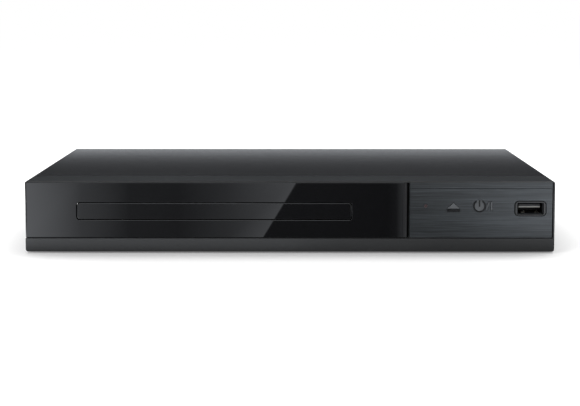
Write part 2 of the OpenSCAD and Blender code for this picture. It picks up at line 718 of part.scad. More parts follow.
module line_filter() color([0.55, 0.25, 0.12]) {
    c = [power_x0 + 12, power_y0 + 66];
    difference() {
        box([c[0] - 8, c[1] - 5, board_top], [c[0] + 8, c[1] + 5, board_top + 12]);
        box([c[0] - 4, c[1] - 6, board_top + 4], [c[0] + 4, c[1] + 6, board_top + 8]);
    }
}

module heat_sink() color([0.7, 0.71, 0.72]) {
    x = power_x0 + 3;
    box([x, power_y0 + 12, board_top], [x + 1.5, power_y0 + 38, board_top + 18]);
    for (i = [0:4]) {
        box([x + 1.5, power_y0 + 12 + 6 * i, board_top + 1], [x + 6, power_y0 + 13.2 + 6 * i, board_top + 18]);
    }
}

jack_face = rear_in - 0.1;

module rca_housing() color([0.08, 0.08, 0.09]) {
    difference() {
        box([jack_x - 1.5 * jack_pitch, rear_in - 12, board_top],
            [jack_x + 1.5 * jack_pitch, jack_face, jack_z + 6.6]);
        for (i = [-1, 0, 1]) {
            bar_y(jack_x + i * jack_pitch, jack_z, 2.3, rear_in - 8, rear_in + 1);
        }
    }
    for (i = [-1, 0, 1]) {
        along_y(jack_face + fit, rear_y + jack_proud - 1) translate([jack_x + i * jack_pitch, jack_z])
            difference() {
                circle(2.9);
                circle(1.6);
            }
    }
}

module rca_barrels() color([0.8, 0.78, 0.7]) for (i = [-1, 0, 1]) {
    translate([jack_x + i * jack_pitch, 0, jack_z]) difference() {
        union() {
            bar_y(0, 0, jack_r, jack_face, rear_y + jack_proud);
            bar_y(0, 0, jack_r + 0.2, jack_face, rear_in + sheet);
        }
        bar_y(0, 0, 2.95, rear_in - 1, rear_y + jack_proud + 1);
    }
}

module mains_inlet() color([0.06, 0.06, 0.07]) {
    difference() {
        union() {
            along_y(rear_in - 16, rear_in + sheet) translate([inlet_x, inlet_z])
                polygon(round_rect(22, 12.6, 1.8));
            along_y(rear_in + sheet, rear_in + sheet + 1.6) translate([inlet_x, inlet_z])
                polygon(round_rect(26, 16.6, 2.4));
            box([inlet_x - 10, rear_in - 16, board_top], [inlet_x + 10, rear_in - 2, inlet_z]);
        }
        along_y(rear_in - 13.5, rear_in + 4) translate([inlet_x, inlet_z])
            polygon(taut([-inlet_pitch / 2, 0], 4.2, [inlet_pitch / 2, 0], 4.19, 12));
        for (s = [-1, 1]) {
            bar_y(inlet_x + s * inlet_pitch / 2, inlet_z, 1.15, rear_in - 15.5, rear_in - 13);
        }
    }
}

module inlet_pins() color([0.8, 0.8, 0.75]) for (s = [-1, 1])
    bar_y(inlet_x + s * inlet_pitch / 2, inlet_z, 1.15, rear_in - 15.5, rear_in - 4);

// ---- tray ----

module tray_outline()
    translate([-tray_w / 2, tray_y0]) square([tray_w, tail_d - tray_y0]);

// Slot that lets the turntable and the lens through, open to the tail
module slot_outline() {
    circle(slot_r);
    translate([-slot_r, 0]) square([2 * slot_r, tail_d + 1]);
}

rack_gap_y = drive_pos[1];
tab_x = [-40, 40];

module tray() color([0.1, 0.1, 0.11]) loader() {
    difference() {
        union() {
            for (x = [-tray_w / 2, tray_w / 2 - tray_wall]) {
                box([x, tray_y0, skirt_z], [x + tray_wall, tail_d, rim_z]);
            }
            box([-tray_w / 2, tray_y0, skirt_z], [tray_w / 2, tray_y0 + tray_wall, rim_z]);
            box([-tray_w / 2, tail_d - tray_wall, floor_z], [tray_w / 2, tail_d, rim_z]);
            translate([0, 0, rim_z - tray_wall]) linear_extrude(tray_wall) difference() {
                tray_outline();
                circle(disc_seat_r);
                translate([-tray_w, disc_seat_r - 12]) square([2 * tray_w, tail_d]);
            }
            translate([0, 0, floor_z]) linear_extrude(tray_wall) difference() {
                union() {
                    circle(disc_seat_r + 1);
                    translate([-tray_w / 2, disc_seat_r - 14]) square([tray_w, tail_d - disc_seat_r + 14]);
                }
                circle(small_seat_r);
            }
            translate([0, 0, floor_z]) linear_extrude(rim_z - floor_z) intersection() {
                difference() {
                    circle(disc_seat_r + tray_wall);
                    circle(disc_seat_r);
                }
                translate([-tray_w / 2, tray_y0]) square([tray_w, disc_seat_r - 10 - tray_y0]);
            }
            translate([0, 0, tray_z]) linear_extrude(seat_z - tray_z) difference() {
                circle(small_seat_r + tray_wall);
                circle(small_seat_r);
            }
            translate([0, 0, tray_z]) cylinder(r = small_seat_r + 1, h = small_z - tray_z);
            for (s = [-1, 1]) {
                box([s > 0 ? tray_w / 2 - 1 : -tray_w / 2 - rail_rib, tray_y0 + 2, tray_z + 1.1],
                    [s > 0 ? tray_w / 2 + rail_rib : 1 - tray_w / 2, tail_d, tray_z + 2.5]);
                translate([0, 0, tray_z]) linear_extrude(seat_z - tray_z)
                    translate([s * (slot_r + 0.8) - 0.8, small_seat_r]) square([1.6, tail_d - small_seat_r]);
            }
            translate([rack_x, 0, skirt_z]) linear_extrude(floor_z + 0.5 - skirt_z)
                polygon(rack_pts(rack_m, tray_y0 + 3, tail_d - 2, rack_gap_y, 1.8 * rack_m));
        }
        translate([0, 0, tray_z - 1]) linear_extrude(tray_h + 2) slot_outline();
        for (x = tab_x) {
            box([x - 4.2, tray_y0 - 1, tray_z + 1.3], [x + 4.2, tray_y0 + 2.2, tray_z + 3.9]);
        }
        for (s = [-1, 1]) {
            box([s * disc_seat_r * 0.75 - 9, -tray_w / 2 - 1, rim_z - 2.2],
                [s * disc_seat_r * 0.75 + 9, disc_seat_r * -0.3, rim_z + 1]);
        }
    }
}

module tray_door() color([0.07, 0.07, 0.08]) {
    along_y(front_y, front_y + door_t) translate([tray_x, door_z]) polygon(round_rect(door_w, door_h, 1.4));
    loader() for (x = tab_x) {
        box([x - 4, tray_y0, tray_z + 1.5], [x + 4, tray_y0 + 2, tray_z + 3.7]);
    }
}

// ---- loader frame and drive ----

loader_screw_at = [for (s = [-1, 1], p = [[7.1, pivot_d + 8], [5.5, -31]]) [s * (side_x - p[0]), p[1]]];
ear_t = 3;
ear_gap = 0.6;
cross_y = [cam_y0 - 2.2, cam_y0 - 0.4];
cross_top = plate_z + plate_t;
hook_x = [-14, 26];
lug_w = 6;
lug_y = 10;
lug_screw_at = [for (s = [-1, 1], y = [-6, 6]) [s * (side_x + side_t + 3.4), y]];

module loader_frame() color([0.14, 0.14, 0.15]) loader() difference() {
    union() {
        for (s = [-1, 1]) {
            a = s > 0 ? side_x : -side_x - side_t;
            box([a, frame_y0, base_z], [a + side_t, frame_y1, frame_top]);
            for (z = [tray_z - 0.8, tray_z + 2.8]) {
                box([s > 0 ? side_in : -side_x, frame_y0, z], [s > 0 ? side_x : -side_in, frame_y1, z + 1.6]);
            }
        }
        box([-side_x, frame_y0, plate_z], [side_x, cross_y[1], plate_z + plate_t]);
        box([-side_x, cross_y[0], base_z], [side_x, cross_y[1], cross_top]);
        box([-side_x, cross_y[0], base_z], [side_x, cam_y0 + cam_t, cam_z0 - 0.3]);
        box([-side_x, pivot_d - 6, base_z], [side_x, frame_y1, base_z + 2]);
        for (x = [lift_x0 - ear_gap - ear_t, lift_x1 + ear_gap]) {
            box([x, pivot_d - 5, base_z], [x + ear_t, pivot_d + 5, pivot_z + 4]);
        }
        for (x = hook_x) {
            box([x, cross_y[0], plate_z], [x + 4, cross_y[1], cam_z1 + 1.3]);
            box([x, cross_y[0], cam_z1 + 0.3], [x + 4, cam_y0 + cam_t, cam_z1 + 1.3]);
        }
        for (s = [-1, 1]) {
            a = s > 0 ? side_x + side_t : -side_x - side_t - lug_w;
            box([a, -lug_y, frame_top - 6], [a + lug_w, lug_y, frame_top]);
        }
        for (p = loader_screw_at) {
            post(p[0], p[1], 4, base_z, base_z + 5);
        }
        post(drive_pos[0], drive_pos[1], 3.4, plate_z, gear_z);
        post(drive_pos[0], drive_pos[1], 1.95, plate_z, rack_gear_top - 0.2);
        post(pulley_pos[0], pulley_pos[1], 2.6, plate_z, gear_z);
        post(pulley_pos[0], pulley_pos[1], 1.45, plate_z, belt_z + belt_t + flange_t);
    }
    for (p = loader_screw_at) {
        post(p[0], p[1], 1.3, base_z - 1, base_z + 6);
    }
    for (p = lug_screw_at) {
        post(p[0], p[1], 1.1, frame_top - 5, frame_top + 1);
    }
    post(motor_pos[0], motor_pos[1], 3.2, plate_z - 1, plate_z + plate_t + 1);
    bar_x(pivot_d, pivot_z, lift_pin_r + 0.2 + fit, lift_x0 - 6, lift_x1 + 6);
    for (x = [-52:16:44]) {
        box([x, pivot_d + 8, base_z - 1], [x + 8, frame_y1 - 3, base_z + 3]);
    }
}

module loader_screws() color([0.8, 0.8, 0.78]) loader() {
    for (p = loader_screw_at) {
        down_screw(p[0], p[1], base_z + 5, 5);
    }
    for (p = lug_screw_at) {
        down_screw(p[0], p[1], frame_top + bridge_t, 5);
    }
}

bridge_z = rim_z + 2.4;
bridge_t = 1.2;
bridge_r = 13.3;

module clamp_bridge() color([0.7, 0.71, 0.72]) loader() difference() {
    union() {
        box([-side_x - side_t, -15, bridge_z], [side_x + side_t, 15, bridge_z + bridge_t]);
        translate([0, 0, bridge_z]) cylinder(r = 20, h = bridge_t);
        for (s = [-1, 1]) {
            a = s > 0 ? side_x + side_t - bridge_t : -side_x - side_t;
            box([a, -15, frame_top], [a + bridge_t, 15, bridge_z + bridge_t]);
            b = s > 0 ? side_x + side_t - bridge_t : -side_x - side_t - lug_w;
            box([b, -lug_y, frame_top], [b + lug_w + bridge_t, lug_y, frame_top + bridge_t]);
        }
        for (y = [-13.5, 12]) difference() {
            box([-side_x, y, bridge_z], [side_x, y + 1.5, bridge_z + 2.4]);
            post(0, 0, 17, bridge_z + bridge_t, bridge_z + 4);
        }
    }
    for (p = lug_screw_at) {
        post(p[0], p[1], 1.3, frame_top - 1, frame_top + 3);
    }
    post(0, 0, bridge_r, bridge_z - 1, bridge_z + 4);
    for (x = [-42, 42]) {
        post(x, 0, 6, bridge_z - 1, bridge_z + 3);
    }
}

clamp_z = disc_z + 1.5;
clamp_neck_z = bridge_z + bridge_t + slip;

module clamper() color([0.85, 0.85, 0.83]) loader() rotate_extrude() polygon([
    [8.2, clamp_z], [15, clamp_z], [15.5, clamp_z + 0.5], [15.5, clamp_z + 1.4], [bridge_r - 0.8, clamp_z + 1.6],
    [bridge_r - 0.8, clamp_neck_z], [16, clamp_neck_z], [16, clamp_neck_z + 1.2], [0, clamp_neck_z + 1.2],
    [0, clamp_neck_z + 0.2], [10.4, clamp_neck_z + 0.2], [10.4, clamp_z + 1.6], [8.2, clamp_z + 1.6]]);

module clamper_magnet() color([0.3, 0.3, 0.32]) loader() rotate_extrude() polygon([
    [3, clamp_z + 1.6], [10.3, clamp_z + 1.6], [10.3, clamp_neck_z + 0.2], [3, clamp_neck_z + 0.2]]);

module loading_motor() color([0.72, 0.73, 0.74]) loader() translate([motor_pos[0], motor_pos[1], 0]) {
    rotate_extrude() polygon([[0, base_z + 0.6], [motor_r - 0.8, base_z + 0.6], [motor_r, base_z + 1.4],
        [motor_r, plate_z - 0.8], [motor_r - 0.8, plate_z], [3, plate_z], [3, plate_z + 1.2],
        [0.95, plate_z + 1.2], [0.95, base_z + 3], [0, base_z + 3]]);
}

module pulley_section(r, bore) {
    low = belt_z - flange_t;
    high = belt_z + belt_t + flange_t;
    polygon([[bore, low], [r + 0.9, low], [r + 0.9, low + flange_t / 2], [r, low + flange_t - fit],
        [r, high - flange_t + fit], [r + 0.9, high - flange_t / 2], [r + 0.9, high], [bore, high]]);
}

module motor_pulley() color([0.85, 0.8, 0.6]) loader() translate([motor_pos[0], motor_pos[1], 0])
    rotate_extrude() {
        pulley_section(motor_pulley_r, 0);
        translate([0, base_z + 3.1]) square([0.9, belt_z - base_z - 3.2]);
    }

module loading_belt() color([0.05, 0.05, 0.05]) loader() translate([0, 0, belt_z]) linear_extrude(belt_t)
    difference() {
        polygon(taut(pulley_pos, pulley_r + belt_t + fit, motor_pos, motor_pulley_r + belt_t + fit, 20));
        polygon(taut(pulley_pos, pulley_r + fit, motor_pos, motor_pulley_r + fit, 20));
    }

drive_at = 180;
wheel_at = mesh_deg;

module drive_gear() color([0.9, 0.9, 0.87]) loader() translate([drive_pos[0], drive_pos[1], 0]) difference() {
    union() {
        wheel(wheel_m, wheel_teeth, wheel_at, gear_z, gear_z + wheel_t);
        post(0, 0, 4.9, gear_z + wheel_t, rack_gear_z);
        wheel(rack_m, rack_teeth, drive_at, rack_gear_z, rack_gear_top);
    }
    post(0, 0, 2, gear_z - 1, rack_gear_top + 1);
    for (a = [0:60:300]) rotate(a) post(wheel_r - 3.3, 0, 1.3, gear_z - 1, gear_z + wheel_t);
}

module pulley_gear() color([0.9, 0.9, 0.87]) loader() translate([pulley_pos[0], pulley_pos[1], 0]) difference() {
    union() {
        wheel(wheel_m, pinion_teeth, mesh_at(mesh_deg, wheel_at, wheel_teeth, pinion_teeth), gear_z, gear_z + wheel_t);
        post(0, 0, 3, gear_z + wheel_t, belt_z);
        rotate_extrude() pulley_section(pulley_r, 0);
    }
    post(0, 0, 1.5, gear_z - 1, belt_z + 4);
}

// Height of a lift pin in the hung position, seen at the middle of the slider
pin_mid_y = cam_y0 + cam_t / 2 - pivot_d;
pin_low_z = pivot_z + pin_mid_y * sin(drop_deg) + (pin_z - pivot_z) * cos(drop_deg);

module cam_slider() color([0.9, 0.9, 0.87]) loader() difference() {
    box([pin_xs[0] - cam_stroke - 7, cam_y0, cam_z0], [pin_xs[1] + 8, cam_y0 + cam_t, cam_z1]);
    for (x = pin_xs) {
        along_y(cam_y0 - 1, cam_y0 + cam_t + 1)
            polygon(taut([x, pin_low_z], lift_pin_r + 0.25, [x - cam_stroke, pin_z], lift_pin_r + 0.249, 10));
    }
    for (x = [pin_xs[0] + 8.5, pin_xs[1] - 22]) {
        box([x, cam_y0 - 1, cam_z0 + 7], [x + 5, cam_y0 + cam_t + 1, cam_z1 - 2]);
    }
}

// ---- traverse ----

module lift_frame() color([0.14, 0.14, 0.15]) traverse() {
    difference() {
        union() {
            box([lift_x0, lift_y0, lift_low], [lift_x1, pivot_d + 4, lift_top]);
            box([pin_xs[0] - 5, lift_y0, lift_low], [pin_xs[1] + 5, lift_y0 + 3, pin_z + lift_pin_r]);
            for (x = [lift_x0, lift_x1 - 5]) {
                bar_x(pivot_d, pivot_z, 4, x, x + 5);
            }
        }
        box([lift_x0 + 5, lift_y0 + 4, lift_low - 5], [lift_x1 - 5, pivot_d - 5, lift_top + 1]);
    }
    for (p = damper_at) {
        difference() {
            box([p[0] - 5, p[1] - 6, lift_low], [p[0] + 5, p[1] + 6, lift_low + 2]);
            post(p[0], p[1], 0.9, lift_low - 1, lift_low + 3);
        }
    }
    for (x = pin_xs) {
        bar_y(x, pin_z, lift_pin_r, cam_y0 + 0.2, lift_y0 + 1);
    }
    bar_x(pivot_d, pivot_z, lift_pin_r + 0.2, lift_x0 - ear_gap - ear_t, lift_x0 + 1);
    bar_x(pivot_d, pivot_z, lift_pin_r + 0.2, lift_x1 - 1, lift_x1 + ear_gap + ear_t);
}

deck_window = [-rail_x - 4.4, 12.6, feed_line + 1.7, deck_y1 - 4];
rail_y = [deck_window[1] - 4, deck_window[3] + 3];

module traverse_plate() color([0.72, 0.73, 0.74]) traverse() difference() {
    union() {
        box([deck_x0, deck_y0, deck_low], [deck_x1, deck_y1, deck_z]);
        for (x = [-rail_x, rail_x], y = [rail_y[0], rail_y[1] - 3]) {
            box([x - 3, y, rail_z - 2.6], [x + 3, y + 3, deck_low]);
        }
        post(feed_pos[0], feed_pos[1], 1, deck_low, deck_z + 3.6);
        post(feed_pos[0], feed_pos[1], 1.7, deck_low, deck_z + 0.2);
    }
    box([deck_window[0], deck_window[1], deck_low - 1], [deck_window[2], deck_window[3], deck_z + 1]);
    post(0, 0, 3.6, deck_low - 1, deck_z + 1);
    post(feed_motor_pos[0], feed_motor_pos[1], 3.1, deck_low - 1, deck_z + 1);
    for (p = damper_at) {
        post(p[0], p[1], 2.6, deck_low - 1, deck_z + 1);
    }
    for (x = [-rail_x, rail_x]) {
        bar_y(x, rail_z, rail_r + 0.02, rail_y[0] - 1, rail_y[1] + 1);
    }
}

module deck_dampers() color([0.12, 0.12, 0.12]) traverse() for (p = damper_at)
    translate([p[0], p[1], 0]) rotate_extrude() polygon([
        [1, lift_low + 2], [4, lift_low + 2], [4, deck_low], [2.5, deck_low], [2.5, deck_z],
        [4, deck_z], [4, deck_z + 1.6], [1, deck_z + 1.6]]);

module damper_screws() color([0.8, 0.8, 0.78]) traverse() for (p = damper_at)
    down_screw(p[0], p[1], deck_z + 1.6, deck_z + 1.6 - lift_low, 0.88);

module guide_rails() color([0.85, 0.86, 0.87]) traverse() for (x = [-rail_x, rail_x])
    bar_y(x, rail_z, rail_r, rail_y[0], rail_y[1]);

module spindle_motor() color([0.66, 0.67, 0.68]) traverse() rotate_extrude() polygon([
    [1.06, deck_low - 4.6], [1.06, deck_z + 1.2], [3.5, deck_z + 1.2], [3.5, deck_low], [motor_r - 0.8, deck_low],
    [motor_r, deck_low - 0.8], [motor_r, deck_low - 5], [motor_r - 0.8, deck_low - 5.8], [0, deck_low - 5.8],
    [0, deck_low - 4.6]]);

module turntable() color([0.12, 0.12, 0.13]) traverse() rotate_extrude() polygon([
    [0, deck_low - 4.3], [1, deck_low - 4.3], [1, deck_z + 1.6], [4, deck_z + 1.6], [4, disc_z - 2.6],
    [table_r - 0.5, disc_z - 2.6], [table_r, disc_z - 2.1], [table_r, disc_z - 0.3], [7.45, disc_z - 0.3],
    [7.45, disc_z + 1], [5.4, disc_z + 2.1], [2, disc_z + 2.1], [2, disc_z + 0.9], [0, disc_z + 0.9]]);

module turntable_ring() color([0.2, 0.2, 0.2]) traverse() translate([0, 0, disc_z - 0.3]) difference() {
    cylinder(r = table_r - 0.4, h = 0.3);
    translate([0, 0, -1]) cylinder(r = table_r - 4.6, h = 2);
}

pick_y = [lens_in - 10.5, lens_in + 12];
pick_z = [rail_z - 2.9, rail_z + 3.1];

module pickup_body() color([0.3, 0.31, 0.33]) traverse() difference() {
    union() {
        box([-20, pick_y[0], pick_z[0]], [20, pick_y[1], pick_z[1]]);
        box([-rail_x - 3, pick_y[0], pick_z[0]], [-19, pick_y[1], pick_z[1] - 0.2]);
        box([19, lens_in - 5, pick_z[0]], [rail_x + 1.6, lens_in + 5, pick_z[1] - 0.2]);
        for (y = [lens_in - 8.3, lens_in + 6.3]) {
            box([-6, y, pick_z[1]], [6, y + 2, pick_z[1] + 4.8]);
        }
        box([16, lens_in - 5, pick_z[1]], [feed_line - 0.6, lens_in + 5, deck_z + 0.3]);
        translate([feed_line, 0, deck_z + 0.3]) linear_extrude(1.6)
            polygon(rack_pts(feed_m, lens_in - 19.5, lens_in + 21.5, feed_pos[1], 5));
    }
    bar_y(-rail_x, rail_z, rail_r + fit, pick_y[0] - 1, pick_y[1] + 1);
    box([rail_x - 3, lens_in - 9, rail_z - rail_r - fit], [rail_x + 4, lens_in + 9, rail_z + rail_r + fit]);
    post(0, 0, motor_r + 1.6, pick_z[0] - 1, pick_z[1] + 1);
}

module lens_holder() color([0.12, 0.12, 0.13]) traverse() difference() {
    box([-8, lens_in - 6, pick_z[1] + 2.6], [8, lens_in + 6, pick_z[1] + 5.2]);
    post(0, lens_in, 3.25, pick_z[1] + 1, pick_z[1] + 7);
}

module objective_lens() color([0.5, 0.6, 0.75]) traverse() translate([0, lens_in, pick_z[1]]) rotate_extrude()
    polygon(concat([[0, 3.8], [2.4, 4], [3.25, 4], [3.25, 5.3]],
        [for (i = [0:8]) [2.9 - 2.9 * i / 8, 5.4 + 1.2 * (1 - pow(1 - i / 8, 2))]]));

module feed_motor() color([0.66, 0.67, 0.68]) traverse()
    translate([feed_motor_pos[0], feed_motor_pos[1], 0]) rotate_extrude() polygon([
        [0.85, deck_low - 7], [0.85, deck_z + 0.6], [3, deck_z + 0.6], [3, deck_low], [9.4, deck_low],
        [10, deck_low - 0.6], [10, deck_low - 8], [9.4, deck_low - 8.4], [0, deck_low - 8.4], [0, deck_low - 7]]);

feed_wheel_z = deck_z + 2.1;

module feed_pinion() color([0.85, 0.8, 0.6]) traverse()
    translate([feed_motor_pos[0], feed_motor_pos[1], 0]) {
        wheel(feed_m, feed_pinion_teeth, mesh_at(feed_deg, 0, feed_large, feed_pinion_teeth),
            feed_wheel_z, feed_wheel_z + 1.3, 0.8);
        post(0, 0, 0.8, deck_low - 6.8, feed_wheel_z + 1.3);
    }

module feed_gear() color([0.9, 0.9, 0.87]) traverse() translate([feed_pos[0], feed_pos[1], 0]) difference() {
    union() {
        wheel(feed_m, feed_small, 180, deck_z + 0.3, feed_wheel_z);
        wheel(feed_m, feed_large, 0, feed_wheel_z, feed_wheel_z + 1.3, 0.8);
    }
    post(0, 0, 1.05, deck_z, deck_z + 5);
}

chassis();
rear_panel();
top_cover();
front_bezel();
gloss_window();
control_panel();
feet();
case_screws();
led_lens();
indicator_led();
eject_button();
power_button();
eject_plunger();
power_plunger();
tact_switches();
front_board();
usb_shell();
usb_tongue();
main_board();
board_chips();
signal_capacitors();
ribbon_sockets();
front_ribbon();
board_screws();
power_board();
transformer();
mains_capacitor();
line_filter();
heat_sink();
rca_housing();
rca_barrels();
mains_inlet();
inlet_pins();
tray();
tray_door();
loader_frame();
loader_screws();
clamp_bridge();
clamper();
clamper_magnet();
loading_motor();
motor_pulley();
loading_belt();
pulley_gear();
drive_gear();
cam_slider();
lift_frame();
traverse_plate();
deck_dampers();
damper_screws();
guide_rails();
pickup_body();
lens_holder();
objective_lens();
spindle_motor();
turntable();
turntable_ring();
feed_motor();
feed_pinion();
feed_gear();
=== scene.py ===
"""Looks of a compact disc player with a motor driven tray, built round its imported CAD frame.

Every length is in metres in the CAD's frame: X runs across the front, the front faces -Y,
and Z = 0 is the floor. MM turns the millimetres of a drawing into metres.
"""

import json
import logging
import math
from dataclasses import dataclass, field
from enum import Enum
from typing import Any, ClassVar, Sequence

import bmesh
import bpy
from mathutils import Matrix, Vector

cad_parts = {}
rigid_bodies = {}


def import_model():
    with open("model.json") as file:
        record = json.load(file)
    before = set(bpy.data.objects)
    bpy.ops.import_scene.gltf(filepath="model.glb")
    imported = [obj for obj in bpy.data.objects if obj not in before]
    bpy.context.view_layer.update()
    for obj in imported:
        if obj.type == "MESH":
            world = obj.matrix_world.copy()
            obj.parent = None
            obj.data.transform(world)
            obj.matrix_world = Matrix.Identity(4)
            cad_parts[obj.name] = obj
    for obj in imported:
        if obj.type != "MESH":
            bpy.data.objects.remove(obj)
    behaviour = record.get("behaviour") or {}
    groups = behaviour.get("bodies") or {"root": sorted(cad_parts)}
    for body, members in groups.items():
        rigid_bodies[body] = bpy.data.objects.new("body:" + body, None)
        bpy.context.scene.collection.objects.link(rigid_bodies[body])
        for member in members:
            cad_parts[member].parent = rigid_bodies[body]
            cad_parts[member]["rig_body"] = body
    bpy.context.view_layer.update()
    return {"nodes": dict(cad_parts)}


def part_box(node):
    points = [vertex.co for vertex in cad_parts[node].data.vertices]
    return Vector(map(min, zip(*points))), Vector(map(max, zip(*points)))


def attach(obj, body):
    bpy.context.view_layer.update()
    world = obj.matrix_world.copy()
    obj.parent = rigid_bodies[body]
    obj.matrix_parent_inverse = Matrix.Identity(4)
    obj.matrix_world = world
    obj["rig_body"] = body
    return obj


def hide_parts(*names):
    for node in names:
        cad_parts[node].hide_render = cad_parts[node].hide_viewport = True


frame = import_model()

LOG = logging.getLogger("disc_player")
MM = 0.001
ON_AXIS = 1e-6  # Radius in millimetres below which a lathe's profile is on its axis.
SPINDLE = (-38.5, -27.8)  # X and Y of the disc's spindle in millimetres.
Point = tuple[float, float, float]
Colour = tuple[float, float, float, float]


# ---------------------------------------------------------------- shared tools


def linear(hex_colour: str) -> Colour:
    """Turn an sRGB colour such as "1a2b3c" into the linear values that shaders take.

    Args:
        hex_colour: Six hex digits.

    Returns:
        Red, green, blue and an alpha of one.
    """
    parts = [int(hex_colour[i:i + 2], 16) / 255 for i in (0, 2, 4)]
    flat = [c / 12.92 if c <= 0.04045 else ((c + 0.055) / 1.055) ** 2.4 for c in parts]
    return flat[0], flat[1], flat[2], 1.0


def metres(lengths: Sequence[float]) -> tuple[float, ...]:
    """Turn lengths in millimetres into metres."""
    return tuple(c * MM for c in lengths)


def radians(angles: Sequence[float]) -> tuple[float, ...]:
    """Turn angles in degrees into radians."""
    return tuple(math.radians(c) for c in angles)


def empty_tree(owner: bpy.types.Material | bpy.types.World) -> bpy.types.NodeTree:
    """Switch on the nodes of a material or a world, and clear them.

    Args:
        owner: The material or world.

    Returns:
        Its empty tree.
    """
    owner.use_nodes = True
    owner.node_tree.nodes.clear()
    return owner.node_tree


def put(tree: bpy.types.NodeTree, kind: str, inputs: dict[Any, Any] | None = None,
        **settings: Any) -> bpy.types.Node:
    """Add one node, with its settings, its socket values and the links into it.

    Args:
        tree: Shader or geometry tree that takes the node.
        kind: Blender's type name of the node.
        inputs: Socket name or index to a value, or to an output socket that feeds it.
        settings: Attributes of the node itself.

    Returns:
        The new node.
    """
    node = tree.nodes.new(kind)
    for name, value in settings.items():
        setattr(node, name, value)
    for key, value in (inputs or {}).items():
        socket = node.inputs[key]
        if isinstance(value, bpy.types.NodeSocket):
            tree.links.new(value, socket)
        else:
            socket.default_value = value
    return node


def add_object(name: str, mesh: bpy.types.Mesh) -> bpy.types.Object:
    """Link a mesh into the scene as an object at the origin.

    Args:
        name: Name of the object.
        mesh: Its mesh.

    Returns:
        The new object.
    """
    obj = bpy.data.objects.new(name, mesh)
    bpy.context.scene.collection.objects.link(obj)
    return obj


def mesh_from(name: str, points: Sequence[Point],
              faces: Sequence[Sequence[int]]) -> bpy.types.Object:
    """Make an object from points and faces, with its normals pointing out.

    Args:
        name: Name of the object.
        points: Corners in metres.
        faces: Indices of each face's corners.

    Returns:
        The new object.
    """
    mesh = bpy.data.meshes.new(name)
    mesh.from_pydata([tuple(p) for p in points], [], [tuple(f) for f in faces])
    work = bmesh.new()
    work.from_mesh(mesh)
    bmesh.ops.recalc_face_normals(work, faces=work.faces)
    work.to_mesh(mesh)
    work.free()
    return add_object(name, mesh)


def crisp(obj: bpy.types.Object, sharp_deg: float = 38.0) -> bpy.types.Object:
    """Shade an object smooth, apart from edges that turn by more than an angle.

    Args:
        obj: Object to shade.
        sharp_deg: That angle in degrees.

    Returns:
        The same object.
    """
    obj.data.shade_smooth()
    obj.data.set_sharp_from_angle(angle=math.radians(sharp_deg))
    return obj


def soften(obj: bpy.types.Object, width: float, steps: int = 2, angle: float = 35.0) -> None:
    """Give the sharp edges of an object a small round, as moulding and pressing leave it.

    Args:
        obj: Object to soften, shaded already.
        width: Width of the round in metres.
        steps: Faces across the round.
        angle: Edges that turn by more than this are rounded, in degrees.
    """
    bevel = obj.modifiers.new("soft_edges", "BEVEL")
    bevel.width = width
    bevel.segments = steps
    bevel.limit_method = "ANGLE"
    bevel.angle_limit = math.radians(angle)
    bevel.use_clamp_overlap = True
    bevel.harden_normals = True
    flat = obj.modifiers.new("flat_faces", "WEIGHTED_NORMAL")
    flat.mode = "FACE_AREA"
    flat.weight = 100
    flat.keep_sharp = True


def settle(obj: bpy.types.Object) -> bpy.types.Object:
    """Turn an object's modifiers into plain mesh, so that nothing is left to run.

    Args:
        obj: Object whose modifiers are used up.

    Returns:
        The same object with its new mesh.
    """
    bpy.context.view_layer.update()
    graph = bpy.context.evaluated_depsgraph_get()
    mesh = bpy.data.meshes.new_from_object(obj.evaluated_get(graph))
    obj.modifiers.clear()
    obj.data = mesh
    return obj


# ---------------------------------------------------------------- finishes


class Surface(Enum):
    """How a surface was made, which decides the pattern its shader draws."""

    ERODED = "moulded against a spark eroded tool"
    SPRAYED = "sprayed or powder coated"
    POLISHED = "moulded against a polished tool"
    BRUSHED = "brushed along X"
    ROLLED = "rolled or drawn metal"
    SPANGLED = "hot dip galvanised, with zinc crystals"
    ETCHED = "etched copper tracks under solder resist"
    CAST = "cast or sintered, with a fine open grain"
    RUBBED = "soft rubber, dusted and rubbed"


